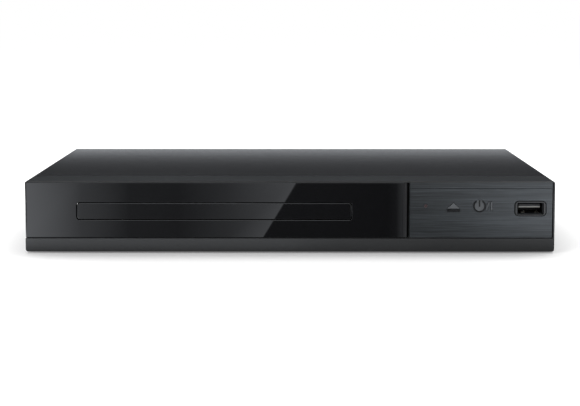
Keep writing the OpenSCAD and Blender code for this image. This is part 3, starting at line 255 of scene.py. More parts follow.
@dataclass(frozen=True)
class Painter:
    """Draws patterns in the tree of one material.

    Attributes:
        tree: The material's tree.
        place: Object coordinates in metres.
    """

    tree: bpy.types.NodeTree
    place: bpy.types.NodeSocket

    def noise(self, size: float, detail: float = 2.0,
              stretch: Point = (1, 1, 1)) -> bpy.types.NodeSocket:
        """Soft random values with features of a given size.

        Args:
            size: Size of a feature in millimetres.
            detail: Octaves of finer detail.
            stretch: How many times finer the pattern is along X, Y and Z.

        Returns:
            Output socket from about 0 to 1.
        """
        spread = put(self.tree, "ShaderNodeVectorMath", {0: self.place, 1: stretch},
                     operation="MULTIPLY")
        return put(self.tree, "ShaderNodeTexNoise", {
            "Vector": spread.outputs[0], "Scale": 1 / (size * MM), "Detail": detail,
            "Roughness": 0.55}).outputs[0]

    def cells(self, size: float) -> Any:
        """Cells of a given size in millimetres, each with its distance and its own colour."""
        return put(self.tree, "ShaderNodeTexVoronoi",
                   {"Vector": self.place, "Scale": 1 / (size * MM)}).outputs

    def mixed(self, share: bpy.types.NodeSocket, low: Any, high: Any, lo: float = 0.35,
              hi: float = 0.65) -> bpy.types.NodeSocket:
        """Blend two colours by a value.

        Args:
            share: Value that picks between the colours.
            low: Colour, or socket, below lo.
            high: Colour, or socket, above hi.
            lo: Value where the blend starts.
            hi: Value where the blend ends.

        Returns:
            Colour socket.
        """
        ramp = put(self.tree, "ShaderNodeMapRange",
                   {"Value": share, "From Min": lo, "From Max": hi})
        return put(self.tree, "ShaderNodeMix", {0: ramp.outputs[0], 6: low, 7: high},
                   data_type="RGBA").outputs[2]

    def maths(self, kind: str, a: Any, b: Any = 0.5, c: Any = 0.5) -> bpy.types.NodeSocket:
        """One step of arithmetic on values.

        Args:
            kind: Blender's name of the operation.
            a: First value or socket.
            b: Second value or socket.
            c: Third value or socket.

        Returns:
            Output socket.
        """
        return put(self.tree, "ShaderNodeMath", {0: a, 1: b, 2: c}, operation=kind).outputs[0]


@dataclass(frozen=True)
class Finish:
    """One real material, and how the light plays on it.

    Attributes:
        name: Maker's name of the material.
        colour: sRGB hex colour of most of the surface.
        shade: sRGB hex colour that it drifts to in patches.
        surface: How the surface was made.
        grain: Size of the finest grain drawn, in millimetres.
        depth: Height of that grain, in millimetres.
        rough: Roughness of the smoothest parts.
        rough_to: Roughness of the dullest parts.
        metallic: One for a bare metal.
        ior: Index of refraction of a non-metal.
        level: Specular level on the shader, 0.5 for a plain surface.
        coat: Weight of a clear coat.
        coat_rough: Roughness of that coat.
        clear: Share of light that passes through.
        patch: Size of the colour patches, in millimetres.
        line: sRGB hex colour of tracks or streaks, where the surface has them.
        hairline: How far a brushed surface stretches its highlights, from none to one.
        made: Materials built so far, by name.
    """

    name: str
    colour: str
    shade: str
    surface: Surface
    grain: float = 0.5
    depth: float = 0.01
    rough: float = 0.4
    rough_to: float = 0.55
    metallic: float = 0.0
    ior: float = 1.5
    level: float = 0.5
    coat: float = 0.0
    coat_rough: float = 0.1
    clear: float = 0.0
    patch: float = 30.0
    line: str = ""
    hairline: ClassVar[float] = 0.6
    made: ClassVar[dict[str, bpy.types.Material]] = {}

    def material(self) -> bpy.types.Material:
        """Build the material once and hand it out to every piece that wears it.

        Returns:
            The node-based material.
        """
        if self.name in Finish.made:
            return Finish.made[self.name]
        mat = bpy.data.materials.new(self.name)
        tree = empty_tree(mat)
        place = put(tree, "ShaderNodeTexCoord").outputs["Object"]
        colour, fine, dull = self.pattern(Painter(tree, place))
        bump = put(tree, "ShaderNodeBump",
                   {"Strength": 1.0, "Distance": self.depth * MM, "Height": fine})
        rough = put(tree, "ShaderNodeMapRange",
                    {"Value": dull, "To Min": self.rough, "To Max": self.rough_to})
        shader = put(tree, "ShaderNodeBsdfPrincipled", {
            "Base Color": colour, "Roughness": rough.outputs[0], "Normal": bump.outputs[0],
            "Metallic": self.metallic, "IOR": self.ior, "Specular IOR Level": self.level,
            "Coat Weight": self.coat, "Coat Roughness": self.coat_rough,
            "Transmission Weight": self.clear,
            "Anisotropic": self.hairline if self.surface is Surface.BRUSHED else 0.0})
        put(tree, "ShaderNodeOutputMaterial", {"Surface": shader.outputs[0]})
        Finish.made[self.name] = mat
        return mat

    def pattern(self, paint: Painter) -> tuple[Any, Any, Any]:
        """Draw what the making of the surface left on it.

        Args:
            paint: Painter of the material's tree.

        Returns:
            Sockets for the colour, the height of the fine grain and the dullness.
        """
        base, shade = linear(self.colour), linear(self.shade)
        broad = paint.noise(self.patch, 3)
        fine = paint.noise(self.grain, 3)
        tint = paint.mixed(broad, base, shade)
        match self.surface:
            case Surface.ERODED | Surface.CAST:
                # Shallow pits of a few grains each, so the sheen breaks up close by.
                pits = paint.cells(self.grain / 0.6)[0]
                height = paint.maths("MULTIPLY_ADD", pits, 0.6, fine)
                tint = paint.mixed(fine, tint, shade, 0.2, 1.1)
                return tint, height, paint.maths("MULTIPLY_ADD", broad, 0.5, fine)
            case Surface.SPRAYED:
                # Low waves of the wet coat and fine matting grains on top of them.
                waves = paint.noise(self.grain * 6, 1)
                height = paint.maths("MULTIPLY_ADD", waves, 2.0, fine)
                return tint, height, paint.maths("MULTIPLY_ADD", broad, 0.6, waves)
            case Surface.BRUSHED:
                # Hairlines a grain apart and tens of millimetres long, some of them deeper.
                hair = paint.noise(self.grain, 4, (0.012, 1, 1))
                deep = paint.noise(self.grain * 5, 2, (0.01, 1, 1))
                lines = paint.maths("MULTIPLY_ADD", deep, 0.5, hair)
                streak = linear(self.line or self.shade)
                tint = paint.mixed(lines, tint, streak, 0.62, 1.0)
                return tint, lines, paint.maths("MULTIPLY_ADD", hair, 0.7, deep)
            case Surface.ROLLED:
                # Faint drawing lines from the rolling mill, with cleaner and duller patches.
                mill = paint.noise(self.grain, 2, (1, 0.04, 1))
                tint = paint.mixed(mill, tint, shade, 0.3, 1.0)
                return tint, mill, paint.maths("MULTIPLY_ADD", broad, 0.6, mill)
            case Surface.SPANGLED:
                # Flat zinc crystals, each turned its own way and so of its own brightness.
                cell = paint.cells(self.grain)["Color"]
                grey = put(paint.tree, "ShaderNodeSeparateColor", {0: cell}).outputs[0]
                tint = paint.mixed(grey, base, shade, 0.0, 1.0)
                return tint, fine, paint.maths("MULTIPLY_ADD", grey, 0.7, broad)
            case Surface.ETCHED:
                return self.tracks(paint, tint, fine)
            case Surface.RUBBED:
                tint = paint.mixed(paint.noise(4, 3), tint, shade, 0.5, 0.75)
                return tint, fine, broad
            case _:
                # Polished: only faint hairline scuffs, seen as a change of gloss.
                scuff = paint.noise(0.25, 2, (0.05, 1, 1))
                scuffed = paint.maths("SUBTRACT", scuff, 0.45)
                dull = paint.maths("MULTIPLY", scuffed, broad)
                return tint, paint.noise(40, 1), dull

    def tracks(self, paint: Painter, tint: Any,
               fine: bpy.types.NodeSocket) -> tuple[Any, Any, Any]:
        """Copper tracks and pads that stand up under the green or brown lacquer.

        Args:
            paint: Painter of the material's tree.
            tint: Colour of the lacquer over bare laminate.
            fine: Fine grain of the lacquer.

        Returns:
            Sockets for the colour, the height and the dullness.
        """
        square = (self.grain * 4 * MM,) * 3
        step = put(paint.tree, "ShaderNodeVectorMath", {0: paint.place, 1: square},
                   operation="SNAP").outputs[0]
        pick = put(paint.tree, "ShaderNodeTexWhiteNoise", {"Vector": step}).outputs[0]
        runs = [put(paint.tree, "ShaderNodeTexWave", {
            "Vector": paint.place, "Scale": 1 / (self.grain * MM * 12)},
            bands_direction=axis).outputs[1] for axis in "XY"]
        turn = paint.maths("GREATER_THAN", pick, 0.5)
        along = paint.mixed(turn, runs[0], runs[1], 0.4, 0.6)
        copper = paint.maths("GREATER_THAN", along, 0.62)
        colour = paint.mixed(copper, tint, linear(self.line), 0.4, 0.6)
        return colour, paint.maths("MULTIPLY_ADD", copper, 3.0, fine), fine


# Coil-coated steel: a fine orange peel that spreads the window light into one soft band.
CASE_PAINT = Finish("prepainted_black_steel", "111113", "171719", Surface.SPRAYED,
                    grain=0.3, depth=0.003, rough=0.15, rough_to=0.21, level=0.25, patch=60)
# Spark-eroded mould texture: a dry, even sheen that hides finger marks.
BEZEL_ABS = Finish("textured_black_abs", "131415", "18191a", Surface.ERODED,
                   grain=0.35, depth=0.006, rough=0.34, rough_to=0.46, level=0.5, patch=45)
# Flame-polished acrylic: black with mirror-sharp reflections and faint flow marks.
WINDOW_ACRYLIC = Finish("polished_black_acrylic", "08080a", "0b0b0d", Surface.POLISHED,
                        rough=0.02, rough_to=0.05, ior=1.49, patch=70)
# Hairline film behind a matt coat: streaks along X that stretch each highlight sideways.
PANEL_FILM = Finish("brushed_black_film", "1e2022", "242729", Surface.BRUSHED, grain=0.22,
                    depth=0.0015, rough=0.22, rough_to=0.34, metallic=0.5, line="3c4043")
# Masked end of the acrylic, left satin: the mirror stops in a dull dark strip.
WINDOW_RIM = Finish("satin_acrylic_rim", "08080a", "0b0b0d", Surface.ERODED, grain=0.2,
                    depth=0.001, rough=0.26, rough_to=0.32, ior=1.49, patch=30)
# Painted shade: near-black prints on the keys that stand for the shade in the signs' grooves and
# under the eject triangle.
SIGN_SHADE = Finish("painted_sign_shade", "0a0a0b", "101011", Surface.POLISHED, rough=0.4,
                   rough_to=0.5, level=0.2, patch=4)
# Painted shade: near-black matt tape laid in the seams, so the gaps read as deep black where they
# are only shaded.
SEAM_SHADE = Finish("painted_seam_shade", "070707", "0b0b0b", Surface.RUBBED, grain=0.2,
                   depth=0.02, rough=0.9, rough_to=1.0, level=0.05)
# Satin moulded keys: a grey lift against the film, with a soft broad highlight.
KEY_ABS = Finish("satin_black_abs", "4a4d50", "54575a", Surface.ERODED,
                 grain=0.25, depth=0.004, rough=0.36, rough_to=0.48, patch=12)
# Smoked lens flush with the film: a faint warm spot while unlit.
LAMP_RED = Finish("smoked_red_acrylic", "3a2729", "422c2e", Surface.POLISHED,
                  rough=0.3, rough_to=0.4, ior=1.49, patch=6)
# Milky epoxy of a light-emitting diode: a small soft white dome.
LAMP_WHITE = Finish("milky_epoxy", "d8d5c8", "e6e3d8", Surface.POLISHED, rough=0.2, patch=3)
# Tray polystyrene: coarser grain than the bezel, greyer where light rakes it.
MOULD_BLACK = Finish("moulded_black_ps", "161718", "1e1f20", Surface.ERODED,
                     grain=0.45, depth=0.012, rough=0.42, rough_to=0.58, patch=35)
# Glass-filled plastic: cloudy grey swirls of fibre near the surface.
DECK_BLACK = Finish("glass_filled_black_abs", "1b1c1d", "262728", Surface.ERODED,
                    grain=0.6, depth=0.015, rough=0.48, rough_to=0.66, patch=25)
# Hot-dip zinc: crystal patches that each turn the light another way.
GALVANISED = Finish("galvanised_steel", "8d9194", "a9adaf", Surface.SPANGLED, grain=6.0,
                    depth=0.002, rough=0.34, rough_to=0.52, metallic=1.0)
# Lacquered rear sheet: duller than the cover, with dust nibs in the coat.
REAR_PAINT = Finish("black_lacquered_steel", "17181a", "1f2022", Surface.SPRAYED,
                    grain=0.3, depth=0.004, rough=0.42, rough_to=0.54, level=0.35)
# Cold-rolled steel: faint mill lines and a grey, slightly streaky shine.
SHEET_STEEL = Finish("pressed_steel", "9b9d9f", "b2b4b5", Surface.ROLLED, grain=0.5,
                     depth=0.003, rough=0.28, rough_to=0.46, metallic=1.0)
# Oil-blackened steel: dark grey-brown with a metal glint on the edges.
BLACK_SCREW = Finish("black_oxide_steel", "2a2a2b", "3c3c3c", Surface.ROLLED, grain=0.3,
                     depth=0.003, rough=0.36, rough_to=0.5, metallic=0.9, patch=3)
# Yellow-passivated zinc: warm grey metal with a worn drive recess.
ZINC_SCREW = Finish("zinc_plated_steel", "a9a79c", "c2bfae", Surface.ROLLED, grain=0.25,
                    depth=0.003, rough=0.24, rough_to=0.42, metallic=1.0, patch=3)
# Plated contact metal: bright, warm white, faintly rubbed along one way.
NICKEL = Finish("nickel_plated_brass", "b4b2aa", "cac8c0", Surface.ROLLED, grain=0.4,
                depth=0.002, rough=0.16, rough_to=0.30, metallic=1.0, patch=6)
# Dark plated shell of the socket: metal shine kept almost black.
BLACK_NICKEL = Finish("black_nickel_steel", "1b1d1f", "222426", Surface.ROLLED, grain=0.3,
                      depth=0.002, rough=0.3, rough_to=0.42, metallic=0.7, patch=5)
# Painted highlight: a pale grey bar on the tongue's front edge, standing for the light that edge
# catches inside the dark mouth of the socket.
TONGUE_HIGHLIGHT = Finish("painted_tongue_highlight", "b4b4b0", "bfbfbb", Surface.ERODED, grain=0.3,
                   depth=0.004, rough=0.4, rough_to=0.55, patch=5)
# Flash of gold on springs: thin, pale yellow metal in the dark socket.
GOLD = Finish("gold_flashed_bronze", "c9a24e", "dcb868", Surface.ROLLED, grain=0.3,
              depth=0.002, rough=0.2, rough_to=0.34, metallic=1.0, patch=4)
# Dipped solder: bright fillets, softly frosted as they cooled.
TIN = Finish("tinned_copper", "b9bab8", "cfd0cd", Surface.ROLLED, grain=0.25,
             depth=0.002, rough=0.22, rough_to=0.36, metallic=1.0, patch=3)
# Glazed resistor: tiny black brick with a glassy top.
SMD_BLACK = Finish("thick_film_resistor", "1a1a1c", "262628", Surface.POLISHED,
                   rough=0.3, rough_to=0.45, patch=2)
# Fired ceramic: matt tan block with a faintly grainy skin.
SMD_TAN = Finish("ceramic_capacitor", "9a7f5c", "ab9270", Surface.CAST, grain=0.2,
                 depth=0.004, rough=0.4, rough_to=0.55, patch=2)
# Clear glass tube: thin bright lines along both sides.
FUSE_GLASS = Finish("borosilicate_tube", "eef2f2", "f4f7f7", Surface.POLISHED, rough=0.02,
                    rough_to=0.05, ior=1.47, clear=0.9, patch=4)
# Resin-dipped film capacitor: waxy mustard yellow.
FILM_YELLOW = Finish("yellow_film_capacitor", "c8921e", "d4a238", Surface.ERODED, grain=0.3,
                     depth=0.004, rough=0.34, rough_to=0.48, patch=6)
# Etched can top: dull white metal beside its glossy sleeve.
CAP_TOP = Finish("etched_aluminium", "b9bbbc", "cccecf", Surface.CAST, grain=0.2,
                 depth=0.003, rough=0.34, rough_to=0.5, metallic=1.0, patch=3)
# Ink stripe of the minus side: pale grey on the dark sleeve.
SLEEVE_MARK = Finish("printed_grey_ink", "a9adb2", "b6babe", Surface.POLISHED,
                     rough=0.3, rough_to=0.45, patch=3)
# Turned brass: yellow metal with rings left by the tool.
BRASS = Finish("turned_brass", "b08d4a", "c7a765", Surface.ROLLED, grain=0.2,
               depth=0.004, rough=0.22, rough_to=0.38, metallic=1.0, patch=5)
# Nitrile rubber: matt black, dusty grey where it is rubbed.
RUBBER = Finish("black_nitrile_rubber", "0f0f10", "222222", Surface.RUBBED, grain=0.35,
                depth=0.015, rough=0.72, rough_to=0.9, level=0.3)
# Silicone rubber: soft mid grey with no sharp highlight.
GREY_RUBBER = Finish("grey_silicone_rubber", "3c3d3f", "4b4c4e", Surface.RUBBED, grain=0.4,
                     depth=0.01, rough=0.65, rough_to=0.85, level=0.3)
# Unpainted acetal: waxy off-white gears, slightly yellow with age.
NATURAL_POM = Finish("natural_acetal", "d9d7cd", "e7e5dc", Surface.ERODED, grain=0.5,
                     depth=0.006, rough=0.32, rough_to=0.48, ior=1.48, patch=12)
# Solder mask on glass epoxy: glossy green with lighter tracks below it.
GREEN_BOARD = Finish("green_fr4_board", "0f3a22", "14452a", Surface.ETCHED, grain=0.5,
                     depth=0.02, rough=0.24, rough_to=0.4, patch=18, line="1f6a3c")
# Punched phenolic paper: warm brown, streaked, with pale tracks.
BROWN_BOARD = Finish("phenolic_paper_board", "8c6e3c", "9a7b46", Surface.ETCHED, grain=0.9,
                     depth=0.02, rough=0.36, rough_to=0.55, patch=22, line="a98d58")
# Moulding compound: dull charcoal packages with a fine pebble.
CHIP_EPOXY = Finish("black_chip_epoxy", "18181a", "232325", Surface.ERODED, grain=0.3,
                    depth=0.006, rough=0.5, rough_to=0.66, patch=5)
# Shrunk sleeve on a capacitor: glossy dark blue, tight at its edges.
BLUE_SLEEVE = Finish("blue_shrink_sleeve", "1b2550", "202c60", Surface.POLISHED,
                     rough=0.22, rough_to=0.4, patch=6)
# Shrunk sleeve on a capacitor: glossy black that mirrors its neighbours.
BLACK_SLEEVE = Finish("black_shrink_sleeve", "101012", "1a1a1d", Surface.POLISHED,
                      rough=0.2, rough_to=0.38, patch=8)
# Extruded heat sink: pale metal with drawing lines along its fins.
ALUMINIUM = Finish("mill_aluminium", "b4b6b8", "c8cacb", Surface.ROLLED, grain=0.4,
                   depth=0.003, rough=0.26, rough_to=0.42, metallic=1.0, patch=15)
# Enamelled windings: rows of red-brown turns, each with its own glint.
COPPER_WIRE = Finish("enamelled_copper", "9c4f22", "c4733a", Surface.ROLLED, grain=0.3,
                     depth=0.002, rough=0.24, rough_to=0.4, metallic=0.9, patch=3)
# Pressed and fired core: dark stone grey, chalky and slightly pitted.
FERRITE = Finish("sintered_ferrite", "2a2b2d", "363739", Surface.CAST, grain=0.3,
                 depth=0.01, rough=0.55, rough_to=0.75, patch=6)
# Polyester tape round the transformer: smooth yellow with a soft gloss.
YELLOW_TAPE = Finish("polyester_tape", "caa838", "d6b64a", Surface.POLISHED,
                     rough=0.25, rough_to=0.42, patch=8)
# Ground guide rail: the straightest, brightest line on the deck.
RAIL_STEEL = Finish("ground_steel_rail", "b9bbbd", "cfd1d2", Surface.ROLLED, grain=0.2,
                    depth=0.001, rough=0.12, rough_to=0.22, metallic=1.0, patch=10)
# Plated deep-drawn can: light grey metal, polished by the die.
MOTOR_CAN = Finish("plated_motor_can", "a3a5a7", "b9bbbc", Surface.ROLLED, grain=0.4,
                   depth=0.002, rough=0.22, rough_to=0.36, metallic=1.0, patch=10)
# Zinc casting: grey and grainy, with no clear reflection.
DIE_CAST = Finish("zinc_die_casting", "808285", "95979a", Surface.CAST, grain=0.5,
                  depth=0.015, rough=0.4, rough_to=0.58, metallic=0.9, patch=10)
# Coated lens: clear with a blue-violet bloom.
LENS_GLASS = Finish("coated_lens", "8fa6c8", "a8b8d8", Surface.POLISHED, rough=0.01,
                    rough_to=0.04, ior=1.58, clear=0.7, coat=0.6, coat_rough=0.02, patch=3)
# Laminated ribbon: thin off-white film with a papery shine.
FLAT_CABLE = Finish("flat_cable_film", "e3e2da", "eeede6", Surface.POLISHED,
                    rough=0.3, rough_to=0.45, patch=20)
# Moulded nylon sockets: warm ivory, slightly see-through at the edges.
SOCKET_NYLON = Finish("ivory_nylon", "d8d4c4", "e2dfd2", Surface.ERODED, grain=0.4,
                      depth=0.006, rough=0.38, rough_to=0.55, patch=6)
# Coloured insert of the picture jack: plain glossy yellow.
YELLOW_PP = Finish("yellow_pp", "c9a21a", "d6b030", Surface.POLISHED, rough=0.3, patch=4)
# Coloured insert of the left sound jack: plain glossy white.
WHITE_PP = Finish("white_pp", "d2d2cd", "dededa", Surface.POLISHED, rough=0.3, patch=4)
# Coloured insert of the right sound jack: plain glossy red.
RED_PP = Finish("red_pp", "9c1c16", "ac2a20", Surface.POLISHED, rough=0.3, patch=4)


# ---------------------------------------------------------------- repeated shapes


class Layout(Enum):
    """Ways of repeating a small shape with Geometry Nodes."""

    ROWS = "rows_of_a_shape"
    RING = "shape_round_an_axis"
    COIL = "wire_wound_in_turns"


@dataclass(frozen=True)
class Repeater:
    """A Geometry Nodes tree with named sizes, run on one object and turned into mesh.

    Attributes:
        layout: How the shape is repeated.
        wire_sides: Faces round a wound wire.
        turn_steps: Lengths of wire in one turn of a winding.
        trees: Trees built so far.
    """

    layout: Layout
    wire_sides: ClassVar[int] = 6
    turn_steps: ClassVar[int] = 20
    trees: ClassVar[dict[Layout, bpy.types.GeometryNodeTree]] = {}

    def tree(self) -> bpy.types.GeometryNodeTree:
        """Build the tree of this layout once.

        Returns:
            Tree that ends in Realize Instances and Set Material.
        """
        if self.layout in Repeater.trees:
            return Repeater.trees[self.layout]
        tree = bpy.data.node_groups.new(self.layout.value, "GeometryNodeTree")
        face = tree.interface
        face.new_socket("Geometry", in_out="OUTPUT", socket_type="NodeSocketGeometry")
        face.new_socket("Shape", in_out="INPUT", socket_type="NodeSocketGeometry")
        sizes = {
            Layout.ROWS: {"Count": "Int", "Step": "Vector", "Rows": "Int", "Row Step": "Vector",
                          "Start": "Vector"},
            Layout.RING: {"Count": "Int", "Centre": "Vector", "Axis Turn": "Vector"},
            Layout.COIL: {"Turns": "Float", "Radius": "Float", "Length": "Float", "Wire": "Float",
                          "Centre": "Vector", "Axis Turn": "Vector", "Squash": "Vector"},
        }[self.layout]
        for name, kind in sizes.items():
            face.new_socket(name, in_out="INPUT", socket_type=f"NodeSocket{kind}")
        face.new_socket("Finish", in_out="INPUT", socket_type="NodeSocketMaterial")
        given = put(tree, "NodeGroupInput").outputs
        made = {Layout.ROWS: self.rows, Layout.RING: self.ring, Layout.COIL: self.coil}[
            self.layout](tree, given)
        real = put(tree, "GeometryNodeRealizeInstances", {0: made})
        dress = put(tree, "GeometryNodeSetMaterial",
                    {"Geometry": real.outputs[0], "Material": given["Finish"]})
        put(tree, "NodeGroupOutput", {0: dress.outputs[0]})
        Repeater.trees[self.layout] = tree
        return tree

    def rows(self, tree: bpy.types.GeometryNodeTree, given: Any) -> bpy.types.NodeSocket:
        """Rows of rows of the shape.

        Args:
            tree: Tree to fill.
            given: Outputs of the group input.

        Returns:
            Geometry socket of the instances.
        """
        line = put(tree, "GeometryNodeMeshLine", {
            "Count": given["Count"], "Start Location": given["Start"], "Offset": given["Step"]})
        column = put(tree, "GeometryNodeMeshLine",
                     {"Count": given["Rows"], "Offset": given["Row Step"]})
        grid = put(tree, "GeometryNodeInstanceOnPoints",
                   {"Points": column.outputs[0], "Instance": line.outputs[0]})
        spots = put(tree, "GeometryNodeRealizeInstances", {0: grid.outputs[0]})
        return put(tree, "GeometryNodeInstanceOnPoints",
                   {"Points": spots.outputs[0], "Instance": given["Shape"]}).outputs[0]

    def ring(self, tree: bpy.types.GeometryNodeTree, given: Any) -> bpy.types.NodeSocket:
        """The shape turned in equal steps about an axis through the centre.

        Args:
            tree: Tree to fill.
            given: Outputs of the group input.

        Returns:
            Geometry socket of the instances.
        """
        dots = put(tree, "GeometryNodeMeshLine", {"Count": given["Count"], "Offset": (0, 0, 0)})
        index = put(tree, "GeometryNodeInputIndex").outputs[0]
        step = put(tree, "ShaderNodeMath", {0: math.tau, 1: given["Count"]}, operation="DIVIDE")
        angle = put(tree, "ShaderNodeMath", {0: index, 1: step.outputs[0]}, operation="MULTIPLY")
        turn = put(tree, "ShaderNodeCombineXYZ", {"Z": angle.outputs[0]})
        turned = put(tree, "GeometryNodeInstanceOnPoints", {
            "Points": dots.outputs[0], "Instance": given["Shape"], "Rotation": turn.outputs[0]})
        return put(tree, "GeometryNodeTransform", {
            "Geometry": turned.outputs[0], "Translation": given["Centre"],
            "Rotation": given["Axis Turn"]}).outputs[0]

    def coil(self, tree: bpy.types.GeometryNodeTree, given: Any) -> bpy.types.NodeSocket:
        """A wire wound in even turns on a former.

        Args:
            tree: Tree to fill.
            given: Outputs of the group input.

        Returns:
            Geometry socket of the wire.
        """
        spiral = put(tree, "GeometryNodeCurveSpiral", {
            "Resolution": self.turn_steps, "Rotations": given["Turns"],
            "Start Radius": given["Radius"],
            "End Radius": given["Radius"], "Height": given["Length"]})
        low = put(tree, "ShaderNodeMath", {0: given["Length"], 1: -0.5}, operation="MULTIPLY")
        drop = put(tree, "ShaderNodeCombineXYZ", {"Z": low.outputs[0]})
        centred = put(tree, "GeometryNodeTransform", {
            "Geometry": spiral.outputs[0], "Translation": drop.outputs[0]})
        section = put(tree, "GeometryNodeCurvePrimitiveCircle",
                      {"Resolution": self.wire_sides, "Radius": given["Wire"]})
        wire = put(tree, "GeometryNodeCurveToMesh", {
            "Curve": centred.outputs[0], "Profile Curve": section.outputs[0], "Fill Caps": True})
        flat = put(tree, "GeometryNodeTransform",
                   {"Geometry": wire.outputs[0], "Scale": given["Squash"]})
        return put(tree, "GeometryNodeTransform", {
            "Geometry": flat.outputs[0], "Translation": given["Centre"],
            "Rotation": given["Axis Turn"]}).outputs[0]

    def run(self, obj: bpy.types.Object, finish: Finish, **sizes: Any) -> bpy.types.Object:
        """Run the tree on an object and keep the result as plain mesh.

        Args:
            obj: Object that holds the shape to repeat.
            finish: Material of the result.
            sizes: Values for the tree's inputs, with underscores for spaces.

        Returns:
            The same object with its new mesh.
        """
        tree = self.tree()
        run = obj.modifiers.new(self.layout.value, "NODES")
        run.node_group = tree
        keys = {i.name: i.identifier for i in tree.interface.items_tree if i.in_out == "INPUT"}
        run[keys["Finish"]] = finish.material()
        for name, value in sizes.items():
            run[keys[name.replace("_", " ")]] = value
        return settle(obj)


ROWS = Repeater(Layout.ROWS)
RING = Repeater(Layout.RING)
COIL = Repeater(Layout.COIL)


# ---------------------------------------------------------------- pieces


def lathe(name: str, profile: Sequence[tuple[float, float]], centre: Point, axis: str = "Z",
          steps: int = 48) -> bpy.types.Object:
    """Turn a profile about an axis, as a lathe or a round mould does.

    Args:
        name: Name of the object.
        profile: Radius and height pairs in millimetres, from one end of the axis to the other.
        centre: Foot of the axis in millimetres.
        axis: "Z" for an upright axis, "Y" for one that points to the rear.
        steps: Faces round the axis.

    Returns:
        The new object, closed where the profile starts and ends on the axis.
    """
    points: list[Point] = []
    rings: list[list[int]] = []
    for radius, height in profile:
        count = 1 if radius < ON_AXIS else steps
        loop = []
        for i in range(count):
            turn = math.tau * i / count
            u, v = radius * math.cos(turn), radius * math.sin(turn)
            spot = (u, v, height) if axis == "Z" else (u, height, -v)
            loop.append(len(points))
            points.append(tuple((c + s) * MM for c, s in zip(centre, spot)))
        rings.append(loop)
    faces = []
    for low, high in zip(rings, rings[1:] + ([rings[0]] if len(rings[0]) > 1 else [])):
        for i in range(steps):
            j = (i + 1) % steps
            if len(low) == 1 and len(high) == 1:
                break
            if len(low) == 1:
                faces.append((low[0], high[j], high[i]))
            elif len(high) == 1:
                faces.append((low[i], low[j], high[0]))
            else:
                faces.append((low[i], low[j], high[j], high[i]))
    return mesh_from(name, points, faces)


def block(name: str, low: Point, high: Point) -> bpy.types.Object:
    """Make a block between two corners, to be softened or repeated.

    Args:
        name: Name of the object.
        low: Lowest corner in millimetres.
        high: Highest corner.

    Returns:
        The new object.
    """
    xs, ys, zs = zip(low, high)
    points = [(x * MM, y * MM, z * MM) for x in xs for y in ys for z in zs]
    faces = [(0, 1, 3, 2), (4, 6, 7, 5), (0, 4, 5, 1), (2, 3, 7, 6), (0, 2, 6, 4), (1, 5, 7, 3)]
    return mesh_from(name, points, faces)


def swept(name: str, outline: Sequence[tuple[float, float]], start: float, end: float,
          axis: str = "X") -> bpy.types.Object:
    """Run an outline along an axis.

    Args:
        name: Name of the object.
        outline: Closed outline in millimetres: Y and Z for axis X, X and Z for Y, X and Y for Z.
        start: Where the run starts, in millimetres.
        end: Where it ends.
        axis: Axis of the run.

    Returns:
        The new closed object.
    """
    def at(pair: tuple[float, float], run: float) -> Point:
        """Corner of the outline, in metres, at one place of the run."""
        spot = {"X": (run, *pair), "Y": (pair[0], run, pair[1]), "Z": (*pair, run)}[axis]
        return metres(spot)

    count = len(outline)
    points = [at(p, start) for p in outline] + [at(p, end) for p in outline]
    faces = [(i, (i + 1) % count, count + (i + 1) % count, count + i) for i in range(count)]
    faces += [tuple(range(count)), tuple(range(count, 2 * count))]
    return mesh_from(name, points, faces)


def span(node: str) -> tuple[Vector, Vector]:
    """Lowest and highest corners of a CAD node, in millimetres."""
    low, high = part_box(node)
    return low / MM, high / MM


def body_of(node: str) -> str:
    """Name of the body that carries a CAD node."""
    return frame["nodes"][node]["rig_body"]


def rounded(obj: bpy.types.Object, width: float, steps: int = 2) -> bpy.types.Object:
    """Soften an object's edges and settle the result.

    Args:
        obj: Object to soften.
        width: Width of the round in millimetres.
        steps: Faces across the round.

    Returns:
        The same object.
    """
    crisp(obj)
    soften(obj, width * MM, steps)
    return settle(obj)


def merged(name: str, parts: Sequence[bpy.types.Object]) -> bpy.types.Object:
    """Join objects into one mesh, each keeping its materials.

    Args:
        name: Name of the result.
        parts: Objects to join, which are used up.

    Returns:
        The joined object.
    """
    work = bmesh.new()
    for part in parts:
        work.from_mesh(part.data)
    mesh = bpy.data.meshes.new(name)
    work.to_mesh(mesh)
    work.free()
    for mat in parts[0].data.materials:
        mesh.materials.append(mat)
    for part in parts:
        bpy.data.objects.remove(part)
    return crisp(add_object(name, mesh))


def rows(shape: bpy.types.Object, finish: Finish, count: int, step: Point, lines: int = 1,
         line_step: Point = (0, 0, 0), start: Point = (0, 0, 0)) -> bpy.types.Object:
    """Repeat a shape in rows, with every length in millimetres.

    Args:
        shape: Object that holds the shape, which becomes the result.
        finish: Material of the result.
        count: Shapes in a row.
        step: From one shape to the next.
        lines: Number of rows.
        line_step: From one row to the next.
        start: Shift of the first shape.

    Returns:
        The repeated shape.
    """
    return ROWS.run(crisp(shape), finish, Count=count, Step=metres(step), Rows=lines,
                    Row_Step=metres(line_step), Start=metres(start))


def ring(shape: bpy.types.Object, finish: Finish, count: int, centre: Point,
         turn: Point = (0, 0, 0)) -> bpy.types.Object:
    """Repeat a shape round an upright axis, or round one turned by an angle in degrees.

    Args:
        shape: Object that holds the shape about the origin, which becomes the result.
        finish: Material of the result.
        count: Shapes round the axis.
        centre: Place of the axis in millimetres.
        turn: Turn of the axis about X, Y and Z in degrees.

    Returns:
        The repeated shape.
    """
    return RING.run(crisp(shape), finish, Count=count, Centre=metres(centre),
                    Axis_Turn=radians(turn))


